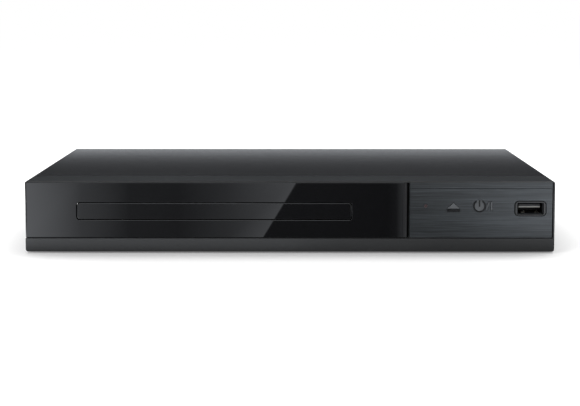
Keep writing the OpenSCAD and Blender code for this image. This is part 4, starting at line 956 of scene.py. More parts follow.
def coil(name: str, finish: Finish, turns: float, radius: float, length: float, wire: float,
         centre: Point, turn: Point = (0, 0, 0), squash: Point = (1, 1, 1)) -> bpy.types.Object:
    """Wind a wire in turns.

    Args:
        name: Name of the object.
        finish: Material of the wire.
        turns: Number of turns.
        radius: Radius of the winding in millimetres.
        length: Length of the winding.
        wire: Radius of the wire.
        centre: Middle of the winding.
        turn: Turn of its axis about X, Y and Z in degrees.
        squash: Scale along X, Y and Z before the turn, for a winding that isn't round.

    Returns:
        The wound wire.
    """
    mesh = bpy.data.meshes.new(name)
    return crisp(COIL.run(add_object(name, mesh), finish, Turns=turns, Radius=radius * MM,
                          Length=length * MM, Wire=wire * MM, Centre=metres(centre),
                          Axis_Turn=radians(turn), Squash=squash), 60)


def place(obj: bpy.types.Object, body: str, slot: str, finish: Finish | None = None,
          instead_of: Sequence[str] = ()) -> bpy.types.Object:
    """Dress a piece, let it ride on its body and name its slot.

    Args:
        obj: The piece, at the origin with its place in its mesh.
        body: CAD body that carries it.
        slot: Material slot of the record.
        finish: Material, or None where the mesh has its material already.
        instead_of: CAD nodes that the piece stands for.

    Returns:
        The piece.
    """
    if finish:
        obj.data.materials.clear()
        obj.data.materials.append(finish.material())
    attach(obj, body)
    if instead_of:
        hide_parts(*instead_of)
    LOG.info("%s rides on %s in %s, %d faces", obj.name, body, slot, len(obj.data.polygons))
    return obj


@dataclass(frozen=True)
class Skin:
    """How one CAD node is dressed: welded, its edges softened, and given its finish.

    Attributes:
        node: Name of the CAD node.
        finish: Its material.
        slot: Its material slot in the record.
        edge: Width of the soft edge in millimetres, none for zero.
        steps: Faces across that edge.
        angle: Edges that turn by more than this are softened, in degrees.
        weld: Corners closer than this are one, in millimetres.
        flat: Faces that turn by less than this are one, in degrees.
    """

    node: str
    finish: Finish
    slot: str
    edge: float = 0.12
    steps: int = 2
    angle: float = 35.0
    weld: ClassVar[float] = 0.003
    flat: ClassVar[float] = 0.6

    def build(self) -> bpy.types.Object:
        """Make the welded copy that stands for the node.

        Returns:
            The dressed piece, riding on the node's body.
        """
        mesh = frame["nodes"][self.node].data.copy()
        mesh.name = f"{self.node}_skin"
        work = bmesh.new()
        work.from_mesh(mesh)
        bmesh.ops.remove_doubles(work, verts=work.verts, dist=self.weld * MM)
        bmesh.ops.dissolve_limit(work, angle_limit=math.radians(self.flat), verts=work.verts,
                                 edges=work.edges, use_dissolve_boundaries=False)
        work.to_mesh(mesh)
        work.free()
        if "custom_normal" in mesh.attributes:
            mesh.attributes.remove(mesh.attributes["custom_normal"])
        piece = crisp(add_object(f"{self.node}_skin", mesh))
        if self.edge > 0:
            soften(piece, self.edge * MM, self.steps, self.angle)
            settle(piece)
        return place(piece, body_of(self.node), self.slot, self.finish, [self.node])


@dataclass
class Assembly:
    """A group of pieces that are made and dressed together.

    Attributes:
        skins: How each CAD node of the group is dressed.
        made: The pieces made so far.
        cap_share: Share of a small part's length that each of its metal ends takes.
        cap_round: Rounding of those ends in millimetres.
        waist: How far the middle of the part stands back from them.
        lead: Half thickness, length and start of a gull-wing lead, from the chip's side.
    """

    skins: tuple[Skin, ...] = ()
    made: list[bpy.types.Object] = field(default_factory=list)
    cap_share: ClassVar[float] = 0.22
    cap_round: ClassVar[float] = 0.08
    waist: ClassVar[float] = 0.04
    lead: ClassVar[tuple[float, float, float]] = (0.08, 1.3, -0.1)

    def add(self, obj: bpy.types.Object, slot: str, finish: Finish | None = None,
            body: str = "case") -> bpy.types.Object:
        """Place a detail on a body and count it in.

        Args:
            obj: The detail.
            slot: Its material slot.
            finish: Its material, or None where its mesh has one.
            body: CAD body that carries it.

        Returns:
            The detail.
        """
        self.made.append(place(obj, body, slot, finish))
        return obj

    def details(self) -> None:
        """Add the pieces that the CAD leaves to the looks."""

    def build(self) -> list[bpy.types.Object]:
        """Dress the CAD nodes, then add the details.

        Returns:
            Every piece of the group.
        """
        LOG.info("building %s", type(self).__name__)
        self.made.extend(skin.build() for skin in self.skins)
        self.details()
        return self.made

    def chip_parts(self, name: str, spot: Point, size: Point, finish: Finish, count: int,
                   step: Point, lines: int = 1, line_step: Point = (0, 0, 0)) -> None:
        """Solder rows of small two-ended parts on a board.

        Args:
            name: Name of the group of parts.
            spot: Lowest corner of the first part in millimetres.
            size: Size of a part, longest along the line between its ends.
            finish: Material of its middle.
            count: Parts in a row.
            step: From one part to the next.
            lines: Number of rows.
            line_step: From one row to the next.
        """
        axis = max((0, 1, 2), key=lambda i: size[i])
        cap = size[axis] * self.cap_share
        low, high = Vector(spot), Vector(spot) + Vector(size)
        slim = Vector([self.waist if i != axis else cap * 0.9 for i in range(3)])
        bodies = block(name, tuple(low + slim), tuple(high - slim))
        left, right = high.copy(), low.copy()
        left[axis] = low[axis] + cap
        right[axis] = high[axis] - cap
        ends = merged(f"{name}_ends", [
            rounded(block(f"end_{i}", tuple(start), tuple(stop)), self.cap_round)
            for i, (start, stop) in enumerate(((low, left), (right, high)))])
        self.add(rows(bodies, finish, count, step, lines, line_step), "component_black")
        self.add(rows(ends, TIN, count, step, lines, line_step), "nickel")

    def pins(self, name: str, box: tuple[Point, Point], side: str, count: int, pitch: float,
             width: float = 0.35) -> bpy.types.Object:
        """Bend a row of gull-wing leads out of one side of a chip.

        Args:
            name: Name of the row.
            box: Lowest and highest corners of the chip in millimetres.
            side: "-X", "+X", "-Y" or "+Y".
            count: Leads on this side.
            pitch: Spacing of the leads.
            width: Width of a lead.

        Returns:
            The row of leads.
        """
        low, high = box
        sign = -1 if side[0] == "-" else 1
        axis = "XYZ".index(side[1])
        face = (low if sign < 0 else high)[axis]
        foot, knee = low[2], low[2] + (high[2] - low[2]) * 0.55
        half, toe, root = self.lead
        path = [(root, knee + half), (0.35, knee + half), (0.62, foot + 2 * half),
                (toe, foot + 2 * half), (toe, foot), (0.5, foot), (0.26, knee - half),
                (root, knee - half)]
        outline = [(face + sign * u, v) for u, v in path]
        other = 1 - axis
        middle = (low[other] + high[other]) / 2
        first = middle - pitch * (count - 1) / 2 - width / 2
        lead = swept(name, outline, first, first + width, "XY"[other])
        return rows(lead, TIN, count, (0, pitch, 0) if axis == 0 else (pitch, 0, 0))
@dataclass
class CaseShell(Assembly):
    """Steel cover, pan, rear panel, feet and screws.

    Attributes:
        foot_x: Distance of each foot from the middle in millimetres.
        foot_y: Y of the front and of the rear feet.
        pan_top: Height of the pan's upper face.
    """

    skins: tuple[Skin, ...] = (
        Skin("top_cover", CASE_PAINT, "case_steel", 0.18),
        Skin("chassis", GALVANISED, "pan_steel", 0.12),
        Skin("rear_panel", REAR_PAINT, "case_steel", 0.12),
        Skin("feet", RUBBER, "black_rubber", 0.3),
        Skin("case_screws", BLACK_SCREW, "zinc_screw", 0.12),
    )
    foot_x: float = 118.0
    foot_y: tuple[float, float] = (-80.8, 75.8)
    pan_top: float = 2.2

    def details(self) -> None:
        """Press the heads of the foot rivets into the pan."""
        head = lathe("foot_rivets", [(0, 1.1), (1.6, 1.0), (2.7, 0.5), (3.0, 0), (0, 0)],
                     (-self.foot_x, self.foot_y[0], self.pan_top), steps=24)
        self.add(rows(head, RUBBER, 2, (2 * self.foot_x, 0, 0), 2,
                      (0, self.foot_y[1] - self.foot_y[0], 0)), "black_rubber")


@dataclass
class FrontPanel(Assembly):
    """Moulded front with its gloss window, keys, lamp and USB mouth.

    Every length is in millimetres.

    Attributes:
        contact_reach: Distance of the outer contacts of the USB mouth from its middle.
        spring_reach: Distance of its leaf springs from its middle.
        lip: Half width of the pale bar on the tongue's front edge, a painted highlight, its depth
            in the mouth, foot and top.
        mouth_shade: Half width and half height of the black tape round the mouth, painted shade,
            outside and inside.
        groove_drop: Depth of the panel's groove below its top.
        groove_cut: Width of the chamfer in that groove.
        eject: X and Z of the middle of the eject key.
        power: X and Z of the middle of the power key.
        bar: Half width, foot and top of the eject sign's bar, printed black as painted shade, from
            the key's middle.
        circle: Outer and inner radius of the power sign's ring, printed black as painted shade.
        leg_pitch: Spacing along X and Z of a switch's legs.
        usb_pitch: Spacing of the legs of the USB socket.
        stroke: Half width, foot and top of the power sign's stroke, printed black as painted shade.
        ends: Where the window's end pieces start and stop, from the window's right edge.
        end_set: How far these stay behind the window's face and inside its foot and top.
        rib: Outline of a rib inside the front, Y and Z.
        rib_run: X where the first rib starts and ends.
        key_set: How far the skin of a key stays behind the painted-shade print on it.
        shade_depth: How far a painted-shade print reaches into its key.
    """

    skins: tuple[Skin, ...] = (
        Skin("front_bezel", BEZEL_ABS, "matt_black_plastic", 0.32),
        Skin("gloss_window", WINDOW_ACRYLIC, "gloss_black_plastic", 0.2),
        Skin("control_panel", PANEL_FILM, "brushed_dark_panel", 0.06),
        Skin("led_lens", LAMP_RED, "red_lens", 0.1),
        Skin("indicator_led", LAMP_WHITE, "white_plastic", 0.1),
        Skin("eject_button", KEY_ABS, "brushed_dark_panel", 0.1),
        Skin("power_button", KEY_ABS, "brushed_dark_panel", 0.1),
        Skin("eject_plunger", NATURAL_POM, "white_plastic", 0.12),
        Skin("power_plunger", NATURAL_POM, "white_plastic", 0.12),
        Skin("tact_switches", CHIP_EPOXY, "component_black", 0.12),
        Skin("front_board", GREEN_BOARD, "green_board", 0.1),
        Skin("usb_shell", BLACK_NICKEL, "nickel", 0.08),
        Skin("usb_tongue", CHIP_EPOXY, "white_plastic", 0.12),
    )
    contact_reach: float = 3.5
    spring_reach: float = 3.6
    lip: tuple[float, ...] = (5.45, 2.15, 0.1, 0.8)
    mouth_shade: tuple[float, ...] = (8.4, 4.2, 7.2, 3.3)
    groove_drop: float = 3.25
    groove_cut: float = 0.3
    eject: tuple[float, float] = (83.4, 24.3)
    power: tuple[float, float] = (96.6, 24.3)
    bar: tuple[float, float, float] = (3.25, -2.85, -1.85)
    circle: tuple[float, float] = (3.08, 2.42)
    leg_pitch: tuple[float, float] = (4.8, 4.4)
    usb_pitch: float = 2.35
    stroke: tuple[float, float, float] = (0.32, -0.3, 3.05)
    ends: tuple[float, ...] = (-1.65, -0.5, 0.05, 0.42)
    end_set: tuple[float, float] = (0.005, 0.2)
    rib: tuple[tuple[float, float], ...] = ((-94.1, 27.6), (-91.4, 28.6), (-91.4, 34.4),
                                            (-94.1, 35.3))
    rib_run: tuple[float, float] = (-104.6, -103.4)
    key_set: float = 0.03
    shade_depth: float = 0.1

    def details(self) -> None:
        """Add the contacts of the USB mouth and what sits behind the front."""
        self.usb_contacts()
        self.board_parts()
        self.stiffeners()
        self.seams()
        self.key_signs()

    def key_signs(self) -> None:
        """Black prints of the eject sign's bar and the power sign's ring and stroke, painted shade
        of the signs' grooves.
        """
        y = span("eject_button")[0].y
        rear = y + self.shade_depth
        # The faces of the keys go back a hair, so that the painted-shade prints stand level with
        # the CAD.
        for piece in self.made:
            if piece.name in ("eject_button_skin", "power_button_skin"):
                for vertex in piece.data.vertices:
                    vertex.co.y = max(vertex.co.y, (y + self.key_set) * MM)
        (x, z), (half, foot, top) = self.eject, self.bar
        # Painted shade: the eject sign's bar is printed black.
        bar = block("eject_bar_shade", (x - half, y, z + foot), (x + half, rear, z + top))
        self.add(bar, "component_black", SIGN_SHADE, body_of("eject_button"))
        # Painted shade: the power sign's ring and stroke are printed black.
        (x, z), (half, foot, top) = self.power, self.stroke
        arc = [math.radians(118 + 8 * k) for k in range(39)]
        loop = [(x + r * math.cos(a), z + r * math.sin(a))
                for r, run in zip(self.circle, (arc, arc[::-1])) for a in run]
        stroke = block("power_stroke", (x - half, y, z + foot), (x + half, rear, z + top))
        sign = merged("power_sign_shade", [swept("power_ring", loop, y, rear, "Y"), stroke])
        self.add(sign, "component_black", SIGN_SHADE, body_of("power_button"))

    def seams(self) -> None:
        """Chamfer in the panel's groove, black tape in the gaps as painted shade, and the satin end
        of the window.
        """
        low, high = span("control_panel")
        face, foot, cut = low.y, high.z - self.groove_drop, self.groove_cut
        chamfer = [(face, foot), (face + cut, foot), (face + cut, foot + cut)]
        self.add(swept("groove_chamfer", chamfer, low.x + 0.6, high.x - 0.4),
                 "brushed_dark_panel", PANEL_FILM)
        start, end = span("gloss_window")
        # Painted shade: near-black tape behind the gap between the window and the panel, where
        # there is only shade.
        gap_shade = block("seam_shade", (end.x + 0.05, high.y - 0.3, low.z),
                     (low.x - 0.05, high.y, high.z))
        self.add(gap_shade, "black_rubber", SEAM_SHADE)
        pieces = (("window_end", WINDOW_ACRYLIC), ("window_rim", WINDOW_RIM),
                  ("window_cap", WINDOW_ACRYLIC))
        back, inside = self.end_set
        for (name, finish), left, right in zip(pieces, self.ends, self.ends[1:]):
            self.add(block(name, (end.x + left, start.y + back, start.z + inside),
                           (end.x + right, end.y, end.z - inside)), "gloss_black_plastic", finish)
        usb = span("usb_shell")
        x, z = (usb[0].x + usb[1].x) / 2, (usb[0].z + usb[1].z) / 2
        # Painted shade: a frame of near-black tape behind the panel round the USB mouth, where
        # there is only shade.
        wide, tall, slim, short = self.mouth_shade
        sides = [block(f"seam_{i}", (x + a, high.y - 0.15, z + b), (x + c, high.y, z + d))
                 for i, (a, b, c, d) in enumerate((
                     (-wide, -tall, -slim, tall), (slim, -tall, wide, tall),
                     (-slim, short, slim, tall), (-slim, -tall, slim, -short)))]
        self.add(merged("usb_mouth_shade", sides), "black_rubber", SEAM_SHADE)

    def usb_contacts(self) -> None:
        """Pale bar painted as the highlight of the tongue's front edge, gold strips of the tongue,
        and two leaf springs below it.
        """
        low, high = span("usb_shell")
        x, z = (low.x + high.x) / 2, (low.z + high.z) / 2
        half, depth, foot, top = self.lip
        # Painted highlight: a pale bar for the light that the tongue's front edge catches.
        lip = block("usb_tongue_highlight", (x - half, low.y + depth, z + foot),
                    (x + half, low.y + depth + 0.45, z + top))
        self.add(rounded(lip, 0.08), "white_plastic", TONGUE_HIGHLIGHT)
        strip = block("usb_contacts", (x - 0.5, low.y + 4.6, z - 0.03),
                      (x + 0.5, high.y - 2.6, z + 0.12))
        self.add(rows(strip, GOLD, 4, (self.contact_reach * 2 / 3, 0, 0),
                      start=(-self.contact_reach, 0, 0)), "brass")
        floor = low.z + 0.4
        leaf = [(0.9, 0.05), (2.1, 0.72), (2.9, 0.84), (3.8, 0.62), (6.4, 0.0), (6.6, 0.16),
                (3.9, 0.8), (2.9, 1.0), (2.0, 0.9), (0.8, 0.2)]
        spring = swept("usb_springs", [(low.y + u, floor + v) for u, v in leaf], x - 1.1, x + 1.1)
        self.add(rows(spring, NICKEL, 2, (2 * self.spring_reach, 0, 0),
                      start=(-self.spring_reach, 0, 0)), "nickel")

    def board_parts(self) -> None:
        """Solder joints, resistors and capacitors on the rear of the front board."""
        board = span("front_board")[1].y
        switches = span("tact_switches")
        joint = [(1.0, 0), (0.75, 0.2), (0.4, 0.6), (0.25, 0.9), (0, 0.95)]
        wide = switches[1].x - switches[0].x - 6
        dot = lathe("switch_joints", joint, (switches[0].x + 0.6, board, switches[0].z + 0.8),
                    "Y", 16)
        pair = rows(dot, TIN, 2, (self.leg_pitch[0], 0, 0), 2, (0, 0, self.leg_pitch[1]))
        self.add(rows(pair, TIN, 2, (wide, 0, 0)), "nickel")
        usb = span("usb_shell")
        leg = lathe("usb_joints", joint, (usb[0].x + 3.2, board, usb[0].z - 2.2), "Y", 16)
        self.add(rows(leg, TIN, 4, (self.usb_pitch, 0, 0)), "nickel")
        self.chip_parts("front_resistors", (80, board, 13), (2.0, 0.5, 1.2), SMD_BLACK, 5,
                        (4.2, 0, 0), 2, (0, 0, 3))
        self.chip_parts("front_capacitors", (101, board, 11), (1.2, 0.8, 2.0), SMD_TAN, 3,
                        (3.4, 0, 0))

    def stiffeners(self) -> None:
        """Moulded ribs on the inside of the front, above the way of the tray."""
        rib = swept("front_ribs", self.rib, *self.rib_run)
        self.add(rows(rib, BEZEL_ABS, 13, (11, 0, 0)), "matt_black_plastic")


@dataclass
class TrayUnit(Assembly):
    """Sliding tray with its door.

    Attributes:
        recess: Inner and outer X, and front Y, of a finger recess, from the spindle.
        seat: Radius of the disc seat, and the heights of a web's foot and top.
    """

    skins: tuple[Skin, ...] = (
        Skin("tray", MOULD_BLACK, "matt_black_plastic", 0.2),
        Skin("tray_door", WINDOW_ACRYLIC, "gloss_black_plastic", 0.25),
    )
    recess: tuple[float, float, float] = (32.0, 57.0, -65.6)
    seat: tuple[float, float, float] = (61.0, 20.2, 21.4)

    def details(self) -> None:
        """Lay a thin web across each finger recess at the front corners of the tray."""
        (cx, cy), (near, far, front), (radius, foot, top) = SPINDLE, self.recess, self.seat
        for name, way in (("left", -1), ("right", 1)):
            arc = [near + (far - near) * k / 12 for k in range(13)]
            inner = [(cx + way * x, cy - math.sqrt(radius ** 2 - x ** 2)) for x in arc]
            outline = inner + [(cx + way * far, cy + front), (cx + way * near, cy + front)]
            web = swept(f"finger_web_{name}", outline, foot, top, "Z")
            self.add(web, "matt_black_plastic", MOULD_BLACK, body_of("tray"))


@dataclass
class Loader(Assembly):
    """Frame that guides the tray, with its drive and the disc clamp.

    Attributes:
        gusset: Outline of a gusset beside the frame: reach outwards and height.
    """

    skins: tuple[Skin, ...] = (
        Skin("loader_frame", DECK_BLACK, "matt_black_plastic", 0.2),
        Skin("loader_screws", ZINC_SCREW, "zinc_screw", 0.12),
        Skin("clamp_bridge", SHEET_STEEL, "pan_steel", 0.15),
        Skin("clamper", NATURAL_POM, "white_plastic", 0.15),
        Skin("clamper_magnet", FERRITE, "ferrite", 0.15),
        Skin("loading_motor", MOTOR_CAN, "motor_can", 0.15),
        Skin("motor_pulley", BRASS, "brass", 0.08),
        Skin("loading_belt", RUBBER, "black_rubber", 0.15),
        Skin("pulley_gear", NATURAL_POM, "white_plastic", 0.06),
        Skin("drive_gear", NATURAL_POM, "white_plastic", 0.06),
        Skin("cam_slider", NATURAL_POM, "white_plastic", 0.12),
    )
    gusset: tuple[float, float] = (2.6, 9.0)

    def details(self) -> None:
        """Add the ribs of the mouldings."""
        self.gussets()
        self.clamper_ribs()

    def gussets(self) -> None:
        """Gussets that brace both side walls of the frame against its foot."""
        low, high = span("loader_frame")
        lug = 6.0
        for name, wall, way in (("left", low.x + lug, -1), ("right", high.x - lug, 1)):
            out, up = self.gusset
            outline = [(wall - way * 0.1, low.z), (wall + way * out, low.z),
                       (wall + way * out, low.z + 0.8), (wall - way * 0.1, low.z + up)]
            rib = swept(f"gussets_{name}", outline, low.y + 4, low.y + 5.4, "Y")
            self.add(rows(rib, DECK_BLACK, 11, (0, 14.0, 0)), "matt_black_plastic")

    def clamper_ribs(self) -> None:
        """Spokes and a hub moulded on the top of the clamper."""
        top = span("clamper")[1].z
        spoke = block("clamper_ribs", (3.5, -0.45, -0.1), (14.8, 0.45, 0.55))
        self.add(ring(rounded(spoke, 0.12), NATURAL_POM, 8, (*SPINDLE, top)),
                 "white_plastic", body="clamper")
        hub = lathe("clamper_hub", [(0, 0.7), (3.4, 0.7), (3.9, 0.4), (3.9, -0.1), (0, -0.1)],
                    (*SPINDLE, top))
        self.add(crisp(hub), "white_plastic", NATURAL_POM, "clamper")


@dataclass
class Traverse(Assembly):
    """Lift frame with the deck that carries spindle, pickup and feed.

    Attributes:
        pivot: Distance behind the spindle, and height, of the pivot in millimetres.
        droop: Angle that the traverse hangs down at rest, in degrees.
        lens: Distance of the lens behind the spindle.
        disc: Height of the turntable's face when level.
        pickup_top: Height of the top of the pickup's casting when level.
    """

    skins: tuple[Skin, ...] = (
        Skin("lift_frame", DECK_BLACK, "matt_black_plastic", 0.2),
        Skin("traverse_plate", SHEET_STEEL, "pan_steel", 0.12),
        Skin("deck_dampers", GREY_RUBBER, "black_rubber", 0.2),
        Skin("damper_screws", ZINC_SCREW, "zinc_screw", 0.12),
        Skin("guide_rails", RAIL_STEEL, "steel_rail", 0.15),
        Skin("pickup_body", DIE_CAST, "diecast", 0.15),
        Skin("lens_holder", CHIP_EPOXY, "component_black", 0.15),
        Skin("objective_lens", LENS_GLASS, "lens_glass", 0.0),
        Skin("spindle_motor", MOTOR_CAN, "motor_can", 0.15),
        Skin("turntable", DECK_BLACK, "matt_black_plastic", 0.15),
        Skin("turntable_ring", GREY_RUBBER, "black_rubber", 0.08),
        Skin("feed_motor", MOTOR_CAN, "motor_can", 0.15),
        Skin("feed_pinion", BRASS, "brass", 0.04),
        Skin("feed_gear", NATURAL_POM, "white_plastic", 0.05),
    )
    pivot: tuple[float, float] = (80.0, 10.0)
    droop: float = 3.2
    disc: float = 23.3
    lens: float = 24.0
    pickup_top: float = 14.6

    def hung(self, obj: bpy.types.Object) -> bpy.types.Object:
        """Hang a piece, drawn level about the spindle, down with the traverse.

        Args:
            obj: The piece.

        Returns:
            The same piece.
        """
        y, z = metres(self.pivot)
        shift = Matrix.Translation((SPINDLE[0] * MM, SPINDLE[1] * MM + y, z))
        obj.data.transform(shift @ Matrix.Rotation(math.radians(self.droop), 4, "X")
                           @ Matrix.Translation((0, -y, -z)))
        return obj

    def details(self) -> None:
        """Add the chuck, the lens drive and the laser's board."""
        self.chuck()
        self.lens_drive()
        self.laser_board()

    def chuck(self) -> None:
        """Three spring claws round the hub of the turntable, and its screw-like cap."""
        claw = lathe("chuck_claws", [(0, -0.55), (0.4, -0.45), (0.55, 0), (0.4, 0.45), (0, 0.55)],
                     (7.05, 0, 0), steps=12)
        self.add(self.hung(ring(claw, NATURAL_POM, 3, (0, 0, self.disc + 0.4))),
                 "white_plastic", body="turntable")
        cap = lathe("hub_cap", [(0, 1.25), (1.5, 1.25), (1.9, 1.05), (1.9, 0.8), (0, 0.8)],
                    (0, 0, self.disc))
        self.add(self.hung(crisp(cap)), "brass", BRASS, "turntable")

    def lens_drive(self) -> None:
        """Copper coils flat on both sides of the lens holder."""
        out, z = 8.35, self.pickup_top + 3.9
        wires = [coil(f"focus_coil_{i}", COPPER_WIRE, 5, 0.95, 0.7, 0.1, (x, self.lens, z),
                      (0, 90, 0), (1, 4.2, 1)) for i, x in enumerate((-out, out))]
        self.add(self.hung(merged("focus_coils", wires)), "copper_winding", body="lens")

    def laser_board(self) -> None:
        """Small green board with its chip and flat socket on the casting of the pickup."""
        z = self.pickup_top
        board = rounded(block("laser_board", (-18.6, self.lens - 8, z - 0.02),
                              (-9.4, self.lens + 10, z + 0.8)), 0.08)
        self.add(self.hung(board), "green_board", GREEN_BOARD, "pickup")
        chip = rounded(block("laser_driver", (-17, self.lens - 5, z + 0.8),
                             (-12.5, self.lens - 0.5, z + 1.7)), 0.12)
        self.add(self.hung(chip), "component_black", CHIP_EPOXY, "pickup")
        socket = rounded(block("laser_socket", (-18, self.lens + 4.6, z + 0.8),
                               (-10, self.lens + 8.6, z + 2.2)), 0.15)
        self.add(self.hung(socket), "white_plastic", SOCKET_NYLON, "pickup")
        pin = block("laser_socket_pins", (-17.3, self.lens + 8.4, z + 0.8),
                    (-17.0, self.lens + 9.4, z + 1.0))
        self.add(self.hung(rows(pin, TIN, 9, (0.8, 0, 0))), "nickel", body="pickup")


@dataclass
class Electronics(Assembly):
    """Boards, their parts and the sockets at the rear.

    Attributes:
        top: Upper face of the boards in millimetres.
        main: Lowest corner of the main board in X and Y.
        power: Lowest corner of the power board in X and Y.
        jacks: Middle of the mouth of the middle phono socket.
        jack_pitch: Spacing of those sockets.
        cans: X and Y on the main board, radius and height of each standing capacitor.
    """

    skins: tuple[Skin, ...] = (
        Skin("main_board", GREEN_BOARD, "green_board", 0.1),
        Skin("power_board", BROWN_BOARD, "brown_board", 0.1),
        Skin("board_chips", CHIP_EPOXY, "component_black", 0.15),
        Skin("signal_capacitors", BLUE_SLEEVE, "capacitor_sleeve", 0.35),
        Skin("ribbon_sockets", SOCKET_NYLON, "white_plastic", 0.15),
        Skin("front_ribbon", FLAT_CABLE, "white_plastic", 0.0),
        Skin("board_screws", ZINC_SCREW, "zinc_screw", 0.12),
        Skin("transformer", YELLOW_TAPE, "copper_winding", 0.3),
        Skin("mains_capacitor", BLACK_SLEEVE, "capacitor_sleeve", 0.5),
        Skin("line_filter", FERRITE, "ferrite", 0.3),
        Skin("heat_sink", ALUMINIUM, "aluminium", 0.12),
        Skin("rca_housing", MOULD_BLACK, "component_black", 0.15),
        Skin("rca_barrels", NICKEL, "nickel", 0.15),
        Skin("mains_inlet", MOULD_BLACK, "component_black", 0.25),
        Skin("inlet_pins", NICKEL, "nickel", 0.25),
    )
    top: float = 8.8
    main: tuple[float, float] = (40.0, 12.6)
    power: tuple[float, float] = (97.0, 0.6)
    jacks: tuple[float, float, float] = (66.0, 96.8, 16.5)
    jack_pitch: float = 12.0
    cans: tuple[tuple[float, float, float, float], ...] = (
        (28, 14, 2.5, 9), (36, 14, 2.5, 9), (22, 54, 2, 6), (29, 55, 3, 11), (45, 40, 3, 11),
        (5, 40, 2.5, 8))

    def on_main(self, x: float, y: float, z: float = 0.0) -> Point:
        """Point on the main board, from its lowest corner."""
        return self.main[0] + x, self.main[1] + y, self.top + z

    def on_power(self, x: float, y: float, z: float = 0.0) -> Point:
        """Point on the power board, from its lowest corner."""
        return self.power[0] + x, self.power[1] + y, self.top + z

    def details(self) -> None:
        """Add leads, small parts, windings and the marks of the sockets."""
        self.chip_leads()
        self.small_parts()
        self.capacitor_tops()
        self.socket_pins()
        self.power_parts()
        self.jack_inserts()

    def chip_leads(self) -> None:
        """Leads and first-pin marks of the chips on both boards."""
        # Name, lowest and highest corner, height, sides with leads, leads a side, pitch, width.
        chips = (("decoder", (10, 22), (24, 36), 1.4, ("-X", "+X", "-Y", "+Y"), 20, 0.65, 0.3),
                 ("memory", (30, 24), (40, 34), 1.1, ("-X", "+X"), 14, 0.7, 0.32),
                 ("flash", (12, 10), (19, 17), 1.6, ("-Y", "+Y"), 4, 1.6, 0.5),
                 ("motor_driver", (32, 42), (42, 48), 1.6, ("-Y", "+Y"), 14, 0.7, 0.32),
                 ("audio", (8, 44), (16, 50), 1.4, ("-Y", "+Y"), 8, 0.9, 0.4))
        for name, low, high, height, sides, count, pitch, width in chips:
            box = (self.on_main(*low), self.on_main(*high, height))
            leads = [self.pins(f"{name}_{side[1]}{i}", box, side, count, pitch, width)
                     for i, side in enumerate(sides)]
            self.add(merged(f"{name}_leads", leads), "nickel")
            spot = self.on_main(low[0] + 1.4, low[1] + 1.4, height - 0.02)
            mark = lathe(f"{name}_mark", [(0, 0.05), (0.42, 0.05), (0.5, 0), (0, 0)], spot,
                         steps=16)
            self.add(crisp(mark), "component_black", SLEEVE_MARK)
        box = (self.on_power(23, 61), self.on_power(29.4, 70.2, 3.4))
        legs = [self.pins(f"switcher_{i}", box, side, 4, 2.4, 0.6)
                for i, side in enumerate(("-X", "+X"))]
        self.add(merged("switcher_legs", legs), "nickel")

    def small_parts(self) -> None:
        """Resistors, ceramic capacitors, a crystal and a choke on the main board."""
        along_x, along_y = (2.0, 1.2), (1.2, 2.0)
        # Name, X, Y, lie of a part, then the number and the spacing along X and along Y.
        groups = (("bus_resistors", 26.2, 23, along_x, 1, 0, 7, 1.9),
                  ("supply_capacitors", 9, 18.6, along_y, 7, 2.1, 1, 0),
                  ("line_resistors", 22, 38.2, along_y, 8, 1.9, 1, 0),
                  ("filter_capacitors", 34, 50.4, along_y, 3, 2.4, 1, 0),
                  ("video_resistors", 20, 60, along_x, 3, 3.2, 2, 2.2),
                  ("memory_capacitors", 42, 24, along_x, 1, 0, 4, 2.6))
        for name, x, y, lie, count, step, lines, line_step in groups:
            finish, height = (SMD_TAN, 1.0) if "capacitors" in name else (SMD_BLACK, 0.55)
            self.chip_parts(name, self.on_main(x, y), (*lie, height), finish, count,
                            (step, 0, 0), lines, (0, line_step, 0))
        x, y, _ = self.on_main(21, 6)
        half, r = 3.2, 2.2
        outline = [(x + s * half + r * math.cos(a), y + r * math.sin(a))
                   for s, turn in ((1, -90), (-1, 90))
                   for a in (math.radians(turn + 15 * k) for k in range(13))]
        self.add(rounded(swept("crystal", outline, self.top, self.top + 3.6, "Z"), 0.5, 3),
                 "nickel", NICKEL)
        choke = self.on_main(45, 50, 3.2)
        self.add(coil("supply_choke", COPPER_WIRE, 8, 3.1, 4.2, 0.26, choke), "copper_winding")
        core = lathe("choke_core", [(0, 6.6), (4.2, 6.6), (4.2, 5.7), (2.7, 5.6), (2.7, 0.9),
                                    (4.2, 0.8), (4.2, 0), (0, 0)], self.on_main(45, 50), steps=32)
        self.add(crisp(core), "ferrite", FERRITE)

    def capacitor_tops(self) -> None:
        """Bare scored tops and printed stripes of the standing capacitors."""
        tops, stripes = [], []
        for i, (x, y, radius, height) in enumerate(self.cans):
            spot = self.on_main(x, y, height)
            tops.append(lathe(f"top_{i}", [(0, 0.02), (radius - 0.75, 0.02), (radius - 0.6, 0.1),
                                           (radius - 0.45, 0.02), (radius - 0.45, -0.2), (0, -0.2)],
                              spot, steps=24))
            tops += [block(f"score_{i}_{k}", (spot[0] - a, spot[1] - b, spot[2] - 0.1),
                           (spot[0] + a, spot[1] + b, spot[2] + 0.07))
                     for k, (a, b) in enumerate(((radius * 0.55, 0.08), (0.08, radius * 0.55)))]
            arcs = [math.radians(200 + 6 * k) for k in range(8)]
            edge = [(spot[0] + (radius + d) * math.cos(a), spot[1] + (radius + d) * math.sin(a))
                    for d, run in ((0.03, arcs), (-0.1, arcs[::-1])) for a in run]
            stripes.append(swept(f"stripe_{i}", edge, spot[2] - height + 0.8, spot[2] - 0.7, "Z"))
        self.add(merged("capacitor_tops", tops), "aluminium", CAP_TOP)
        self.add(merged("capacitor_stripes", stripes), "capacitor_sleeve", SLEEVE_MARK)

